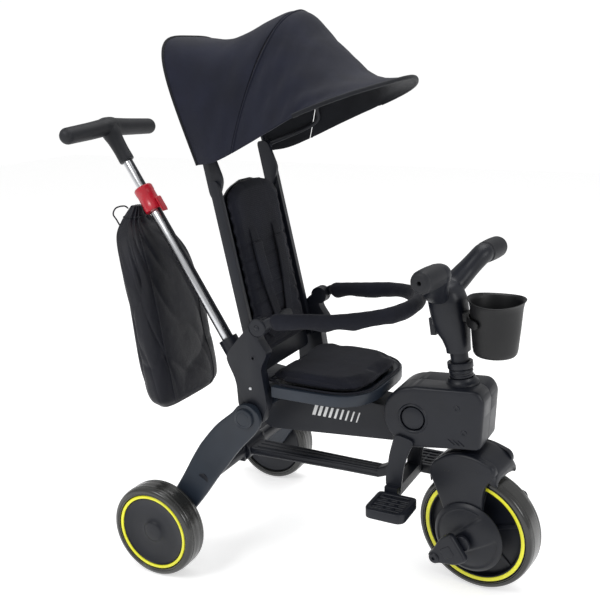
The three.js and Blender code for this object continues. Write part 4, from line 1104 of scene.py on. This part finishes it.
def bakeModifiers(obj):
    bpy.context.view_layer.update()
    graph = bpy.context.evaluated_depsgraph_get()
    mesh = bpy.data.meshes.new_from_object(obj.evaluated_get(graph))
    material = obj.data.materials[0]
    obj.modifiers.clear()
    obj.data = mesh
    if not mesh.materials:
        mesh.materials.append(material)
    mesh.polygons.foreach_set("use_smooth", np.ones(len(mesh.polygons), bool))


def vertexArray(mesh):
    points = np.empty(len(mesh.vertices) * 3)
    mesh.vertices.foreach_get("co", points)
    return points.reshape(-1, 3)


def setVertices(obj, points):
    obj.data.vertices.foreach_set("co", np.asarray(points, np.float64).ravel())
    obj.data.update()


# A pad is a loop shrunk to its middle in rings, crowned above and below.
def padShell(loop, low, high, rings=12, bulge=0.45):
    share = np.linspace(0, 1, rings)
    middle = loop.mean(0)
    half = (high - low) / 2
    swell = (1 - share ** 4) ** bulge
    upper = [np.c_[middle + (loop - middle) * (0.04 + 0.96 * s), np.full(len(loop),
            (high + low) / 2 + half * k)] for s, k in zip(share, swell)]
    lower = [np.c_[middle + (loop - middle) * (0.04 + 0.96 * s), np.full(len(loop),
            (high + low) / 2 - half * k)] for s, k in zip(share[::-1][1:], swell[::-1][1:])]
    return gridShell(np.array(upper + lower))


cushion = {"back": 181, "front": 378, "half": 116, "waist": 104, "corner": 86, "low": 372.6, "high": 391,
        "clipX": (179.5, 382), "clipZ": (372.4, 395)}


def addCushion():
    c = cushion
    side = [(c["back"], c["waist"], 16), (204, c["waist"], 8), (216, c["half"], 10), (c["front"], c["half"],
            c["corner"])]
    loop = roundedLoop([(x, -y, r) for x, y, r in side] + [(x, y, r) for x, y, r in side[::-1]], 14)
    obj = addPiece("seat_cushion_pad", moved(padShell(loop, c["low"], c["high"]), place), "seat_fabric",
            "frame", ("seat_cushion",))
    puff(obj)
    points = (vertexArray(obj.data) - rearAxle) * 1000
    middle = np.array([(c["back"] + c["front"]) / 2, 0])
    reach = np.array([(c["front"] - c["back"]) / 2, c["half"]])
    edge = np.max(np.abs((points[:, :2] - middle) / reach), axis=1)
    upper = points[:, 2] > (c["low"] + c["high"]) / 2
    # a stitched well runs inside the edge roll, and shallow creases cross the middle
    well = np.where(upper, np.exp(-((edge - 0.84) / 0.03) ** 2) * 3.2, 0)
    creases = 0.5 * np.sin(points[:, 0] / 9 + 1.4 * np.sin(points[:, 1] / 31)) * np.clip(0.84 - edge, 0,
            0.2) / 0.2
    points[:, 2] -= well + np.where(upper, creases + 2.2 * np.clip(1 - edge / 0.8, 0, 1), 0)
    points[:, 2] = np.clip(points[:, 2], *c["clipZ"])
    points[:, 0] = np.clip(points[:, 0], *c["clipX"])
    setVertices(obj, place(points))
    trim = smoothPath(np.c_[loop[::3], np.full(len(loop[::3]), 375.4)], 160, closed=True)
    piping = sweepShell(trim, 1.8, 1.8, 10, reference=(0, 0, 1), ring=True)
    addPiece("seat_cushion_piping", moved(piping, place), "seat_fabric", "frame")


back = {"x": 151.2, "z": 440, "recline": 12.2, "half": 96, "low": -32, "high": 305, "thick": (0, 12),
        "border": 82, "quilted": 190, "clip": (-1.6, 14.5)}


# From the backrest's own frame: u out of its face, w up along it.
def onBack(points):
    return place(sideTurned(points, (back["x"], back["z"]), back["recline"]))


def addBackPad():
    b = back
    arch = np.linspace(0, np.pi, 36)
    top = np.stack([b["half"] * np.sign(np.cos(arch)) * np.abs(np.cos(arch)) ** 0.72,
            b["high"] - 52 + 52 * np.sin(arch) ** 0.8], 1)
    sides = np.array([(-b["half"], b["low"] + 14), (-b["half"] + 12, b["low"]), (b["half"] - 12, b["low"]),
            (b["half"], b["low"] + 14)])
    loop = np.vstack([top, sides])
    points, faces = padShell(smoothPath(loop, 110, closed=True), b["thick"][0], b["thick"][1])
    points = points[:, [2, 0, 1]]
    obj = addPiece("back_pad_quilt", (onBack(points), faces), "seat_fabric", "frame", ("back_pad",))
    puff(obj, cap=0.004)
    local = backLocal(vertexArray(obj.data))
    front = local[:, 0] > 5
    lower = 1 / (1 + np.exp((local[:, 2] - b["quilted"]) / 4))
    rows = 2.6 * np.exp(-((local[:, 2] % 28 - 14) / 3.2) ** 2) * lower
    border = 2.4 * np.exp(-((np.abs(local[:, 1]) - b["border"]) / 2.6) ** 2) * (local[:, 2] < 262)
    local[:, 0] -= np.where(front, rows * (np.abs(local[:, 1]) < b["border"]) + border, 0)
    local[:, 0] = np.clip(local[:, 0], *b["clip"])
    setVertices(obj, onBack(local))


def backLocal(points):
    p = (np.asarray(points) - rearAxle) * 1000
    c, s = math.cos(math.radians(back["recline"])), math.sin(math.radians(back["recline"]))
    dx, dz = p[:, 0] - back["x"], p[:, 2] - back["z"]
    return np.stack([dx * c + dz * s, p[:, 1], -dx * s + dz * c], 1)


harness = {"shoulder": (12, 1.3), "waist": (10, 1.3), "pad": (15.5, 2.4)}   # half width, half depth


# Webbing: a flat ribbon with square edges along a path on the pad's face.
def webbing(path, half, thick, count=60):
    return sweepShell(smoothPath(path, count), half, thick, 20, 5, reference=(1, 0, 0))


def addHarness():
    parts, pads = [], []
    for side in (1, -1):
        parts.append(webbing([(13, 40 * side, 211), (16.5, 41 * side, 196), (17.4, 40 * side, 150), (18,
                34 * side, 95), (18.4, 25 * side, 52), (18.4, 21 * side, 34)], *harness["shoulder"]))
        parts.append(webbing([(16, 60 * side, 6), (17, 52 * side, 14), (18.6, 34 * side, 22), (18.8,
                18 * side, 24)], *harness["waist"], 40))
        pads.append(webbing([(18.6, 40.4 * side, 182), (19.4, 40 * side, 150), (19.8, 35 * side, 100)],
                *harness["pad"], 40))
    addPiece("harness_webbing", moved(combine(*parts, *pads), onBack), "seat_fabric", "frame", ("harness",))
    loop = roundedLoop([(-27, 14, 5), (27, 14, 5), (24, 36, 6), (0, 41, 9), (-24, 36, 6)], 6)
    points, faces = plateShell(loop, 16, 22, (1, 2))
    buckle = (points[:, [1, 0, 2]], faces)
    slots = []
    for y in (-13, 13):
        slots.append(turnedShell([(0.1, 22.4), (4.6, 22.3), (5.4, 21.4), (5.4, 20)], (0, y, 26), (1, 0, 0),
                28))
    addPiece("harness_buckle", moved(combine(buckle, *slots), onBack), "black_plastic", "frame")


addCushion()
addBackPad()
addHarness()
print("seat, back and harness ready")

guard = {"path": [(202, 123), (280, 123), (340, 120), (406, 78), (430, 0)], "rise": 26, "wide": 12.5,
        "tall": 13.8, "pivot": (180, 0, 485)}


def guardHeight(x):
    return 495 + guard["rise"] * (x - 180) / 250


# The sleeve's radius carries gathered wrinkles: rings that come and go round the bar, and a
# looser, wavy belly below it.
def addGuardBar():
    half = np.array(guard["path"], float)
    loop = np.vstack([half, (half * [1, -1])[::-1][1:]])
    flat = smoothPath(loop, 300)
    path = np.c_[flat, guardHeight(flat[:, 0])]
    length = np.r_[0, np.cumsum(np.linalg.norm(np.diff(path, axis=0), axis=1))]
    s, a = length[:, None], np.linspace(0, 2 * np.pi, 48, endpoint=False)[None]
    below = np.clip(0.35 - np.sin(a), 0, 1.35) / 1.35
    wrinkle = 0.5 * np.sin(s / 7.1 + 1.6 * np.sin(a + s / 47)) * below
    wrinkle += 0.25 * np.sin(s / 4.1 + 2 * np.cos(a * 2 - s / 31))
    belly = 2.6 * np.clip(-np.sin(a), 0, 1) ** 2 * (0.6 + 0.8 * np.sin(s / 13 + 1.4 * np.sin(s / 37)))
    ahead = np.gradient(path, axis=0)
    ahead /= np.linalg.norm(ahead, axis=1)[:, None]
    out = np.cross(ahead, [0, 0, 1])
    out /= np.linalg.norm(out, axis=1)[:, None]
    up = np.cross(out, ahead)
    end = domedEnds(len(path), 8)[:, None]
    wide = (guard["wide"] + 0.5 * wrinkle) * end
    tall = (guard["tall"] + 0.6 * wrinkle + belly) * end
    grid = path[:, None] + out[:, None] * (np.cos(a) * wide)[..., None] + up[:,
            None] * (np.sin(a) * tall)[..., None]
    sleeve = addPiece("guard_bar_sleeve", moved(gridShell(grid), place), "seat_fabric", "guard_bar",
            ("guard_bar",))
    arm = sweepShell(smoothPath([(180, 130, 485), (192, 128, 490), (204, 124.5, guardHeight(204)), (222,
            123, guardHeight(222))], 24), 4.6, 9, 24, 3, reference=(0, 0, 1))
    eye = turnedShell([(5.4, 124.8), (15, 124.8), (16.8, 126.4), (16.8, 134), (15, 135.8), (5.4, 135.8),
            (5.4, 124.8)], guard["pivot"], sides=56)
    arms = bothSides(combine(arm, eye))
    addPiece("guard_bar_arms", moved(arms, place), "black_plastic", "guard_bar")


canopy = {"arches": [(66, 128, 772, -22, 995, 4.2), (105, 140, 779, 92, 990, 2.7), (150, 148, 797, 210,
        1032, 2.1), (225, 163, 832, 262, 985, 2.2), (272, 178, 854, 325, 925, 2.3), (290, 181, 863, 410,
        911, 2.0)], "thick": 2.4, "fold": 2.6, "tip": 9, "hinge": (68, 0, 785)}


# A point of the canopy: t from 0 at the rear hoop to 1 at the brim, across from -1 to 1. Each
# arch is a superellipse from foot to crest, the arches blend smoothly, and soft folds fan out.
def canopyPoint(t, across, sink=0.0, folds=True):
    t, across = np.broadcast_arrays(np.asarray(t, float), np.asarray(across, float))
    arches = np.array(canopy["arches"], float)
    dense = smoothPath(arches, 1001)
    values = [np.interp(t, np.linspace(0, 1, 1001), dense[:, k]) for k in range(6)]
    footX, half, footZ, crestX, crestZ, square = values
    angle = across * np.pi / 2
    rise = np.cos(angle) ** (2 / square)
    rise = np.where(np.abs(across) >= 1, 0, rise)
    spread = np.sign(across) * np.abs(np.sin(angle)) ** (2 / square)
    x = footX + (crestX - footX) * rise
    z = footZ + (crestZ - footZ) * rise
    y = half * spread
    if folds:
        side = np.clip(np.abs(across), 0, 1)
        fade = np.sin(np.pi * np.clip(t, 0, 1)) ** 0.5 * np.sin(np.pi * np.clip(side, 0, 1)) ** 0.8
        fan = np.sin((t * 6.2 + side * 1.3) * 2 * np.pi + 1.1 * np.sign(across)) * np.clip(side * 1.6, 0,
                1) ** 1.5
        ripple = 0.5 * np.sin((t * 13.1 - side * 2.1) * 2 * np.pi + across * 2)
        sag = -canopy["fold"] * (0.9 * fan + ripple * 0.5 + 0.7) * fade
        tip = canopy["tip"] * np.exp(-(across / 0.22) ** 2) * np.clip((t - 0.86) / 0.14, 0, 1) ** 2
        z = z + sag * np.clip(rise, 0, 1) + tip * 0.6
        y = y + sag * np.sign(across) * 0.6 * (1 - rise)
        x = x + tip
    shrink = 1 - sink / 150
    return np.stack([x, y * shrink, z - sink * rise], -1)


def canopyPanel(name, node, start, end, rows, columns, body):
    t = np.linspace(start, end, rows)[:, None]
    across = np.linspace(-1, 1, columns)[None]
    grid = place(canopyPoint(t, across))
    points = grid.reshape(-1, 3)
    shell = (points, gridFaces(rows, columns, wrap=False))
    obj = addPiece(name, shell, "canopy_fabric", body, (node,), angle=180)
    obj.data.materials.append(blackUnderside)
    thick = obj.modifiers.new("clothThickness", "SOLIDIFY")
    thick.thickness = canopy["thick"] / 1000
    thick.offset = -1
    thick.material_offset = 1
    return obj, grid


blackUnderside = wovenCloth("blackLining", (0.008, 0.009, 0.012), 520, 1.3, 0.1)


def edgeTube(name, grid, radius, finish, body):
    tube = sweepShell(smoothPath(grid, 160), radius / 1000, radius / 1000, 14, reference=(0.3, 0, 1))
    addPiece(name, tube, finish, body)


# Hoops: a round wire under the cloth, from a hinge eye up over the arch and down.
def addHoops():
    for hoop, t, eye, body in (("rear", 0.02, 109, "frame"), ("middle", 0.42, 118, "canopy_front")):
        node = f"canopy_{hoop}_hoop"
        across = np.linspace(-0.93, 0.93, 61)
        arc = canopyPoint(np.full(61, t), across, 9.4, folds=False)
        ends = [np.add(canopy["hinge"], (0, eye * side, 0)) for side in (-1, 1)]
        path = smoothPath(np.vstack([ends[0], arc[::3], ends[1]]), 160)
        wire = sweepShell(path, 3.9, 3.9, 16, reference=(0.9, 0.1, 0.3))
        eyes = []
        for side in (1, -1):
            ring = turnedShell([(4.5, eye - 4), (9, eye - 4), (10, eye - 2.6), (10, eye + 2.6),
                                (9, eye + 4), (4.5, eye + 4), (4.5, eye - 4)], canopy["hinge"], sides=40)
            eyes.append(ring if side > 0 else mirroredShell(ring))
        addPiece(node + "_wire", moved(combine(wire, *eyes), place), "black_plastic", body, (node,))
    bolt = turnedShell([(0.1, 125.6), (3, 125.6), (4, 124.6), (6.6, 124.4), (7.4, 123.4), (7.4, 122.2),
            (0.1, 122.2)], canopy["hinge"], sides=36)
    addPiece("canopy_hinge_bolts", moved(bothSides(bolt), place), silverBolt, "frame")


def addCanopy():
    rear, rearGrid = canopyPanel("canopy_rear_cloth", "canopy_rear_fabric", 0, 0.397, 60, 121, "frame")
    frontGrid = canopyPanel("canopy_front_cloth", "canopy_front_fabric", 0.403, 1, 84, 121, "canopy_front")[1]
    rear.parent = None
    del rear["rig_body"]
    edgeTube("canopy_brim_roll", frontGrid[-1], 3.6, blackUnderside, "canopy_front")
    edgeTube("canopy_rear_roll", rearGrid[0], 2.6, blackUnderside, "frame")
    edgeTube("canopy_ridge_seam", frontGrid[1], 1.9, "canopy_fabric", "canopy_front")
    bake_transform(rear)


addGuardBar()
addHoops()
addCanopy()
print("canopy and guard bar ready")

bag = {"levels": [(272, -80, 18, 88), (292, -86, 30, 106), (340, -96, 35, 109), (400, -106, 34, 109), (480,
        -119, 33, 105), (560, -140, 34, 94), (612, -166, 32, 68), (640, -180, 22, 36), (668, -176, 11, 15)],
        "power": 3.2}


# The sack: superellipse sections at each level, pulled in by pleats at the gathered neck, by
# draped folds and finer creases down the body, and by slanted creases near the bottom.
def addBag():
    levels = smoothPath(bag["levels"], 180)
    sides = 240
    section = roundSection(sides, bag["power"])
    angle = np.linspace(0, 2 * np.pi, sides, endpoint=False)[None]
    z = levels[:, :1]
    neck = np.exp(-((z - 655) / 46) ** 2)
    body = np.exp(-((z - 450) / 150) ** 4)
    pleat = -4.2 * neck * (0.5 + 0.5 * np.cos(angle * 13 + 2.2 * np.sin(angle * 2) + z / 40))
    warp = angle * 2 + 0.8 * np.sin(z / 97 + angle) + 0.3 * np.sin(z / 41 + 2 * angle)
    drape = -5.5 * body * (1 - np.abs(np.sin(warp))) ** 2.2
    fine = -2.4 * body * (1 - np.abs(np.sin(angle * 3.5 + 0.9 * np.sin(z / 71) + z / 130))) ** 4
    slope = np.sin(z / 27 + 1.6 * angle + np.sin(angle * 3))
    slant = -3.2 * np.exp(-((z - 345) / 40) ** 2) * (1 - np.abs(slope)) ** 2
    hang = -3.5 * np.exp(-((z - 590) / 50) ** 2) * (1 - np.abs(np.sin(angle * 6.5 + z / 33))) ** 1.5
    inset = pleat + drape + fine + slant + hang
    scaleX = (levels[:, 2:3] + inset) / levels[:, 2:3]
    scaleY = (levels[:, 3:4] + inset) / levels[:, 3:4]
    x = levels[:, 1:2] + levels[:, 2:3] * section[None, :, 0] * np.clip(scaleX, 0.3, 1)
    y = levels[:, 3:4] * section[None, :, 1] * np.clip(scaleY, 0.3, 1)
    grid = np.stack([x, y, np.broadcast_to(z, x.shape)], -1)
    obj = addPiece("bag_sack", moved(gridShell(grid), place), "bag_fabric", "frame", ("bag",), angle=70)
    hem = sweepShell(smoothPath(grid[-18][::8], 90, closed=True), 2, 2, 10, reference=(0, 0.1, 1), ring=True)
    seams = [hem]
    for column in (22, 218):
        line = smoothPath(grid[4:-16:8, column], 80)
        seams.append(sweepShell(line, 1.3, 1.3, 10, reference=(0.9, 0.3, 0)))
    addPiece("bag_seams", moved(combine(*seams), place), "bag_fabric", "frame")


addBag()
print("bag ready")
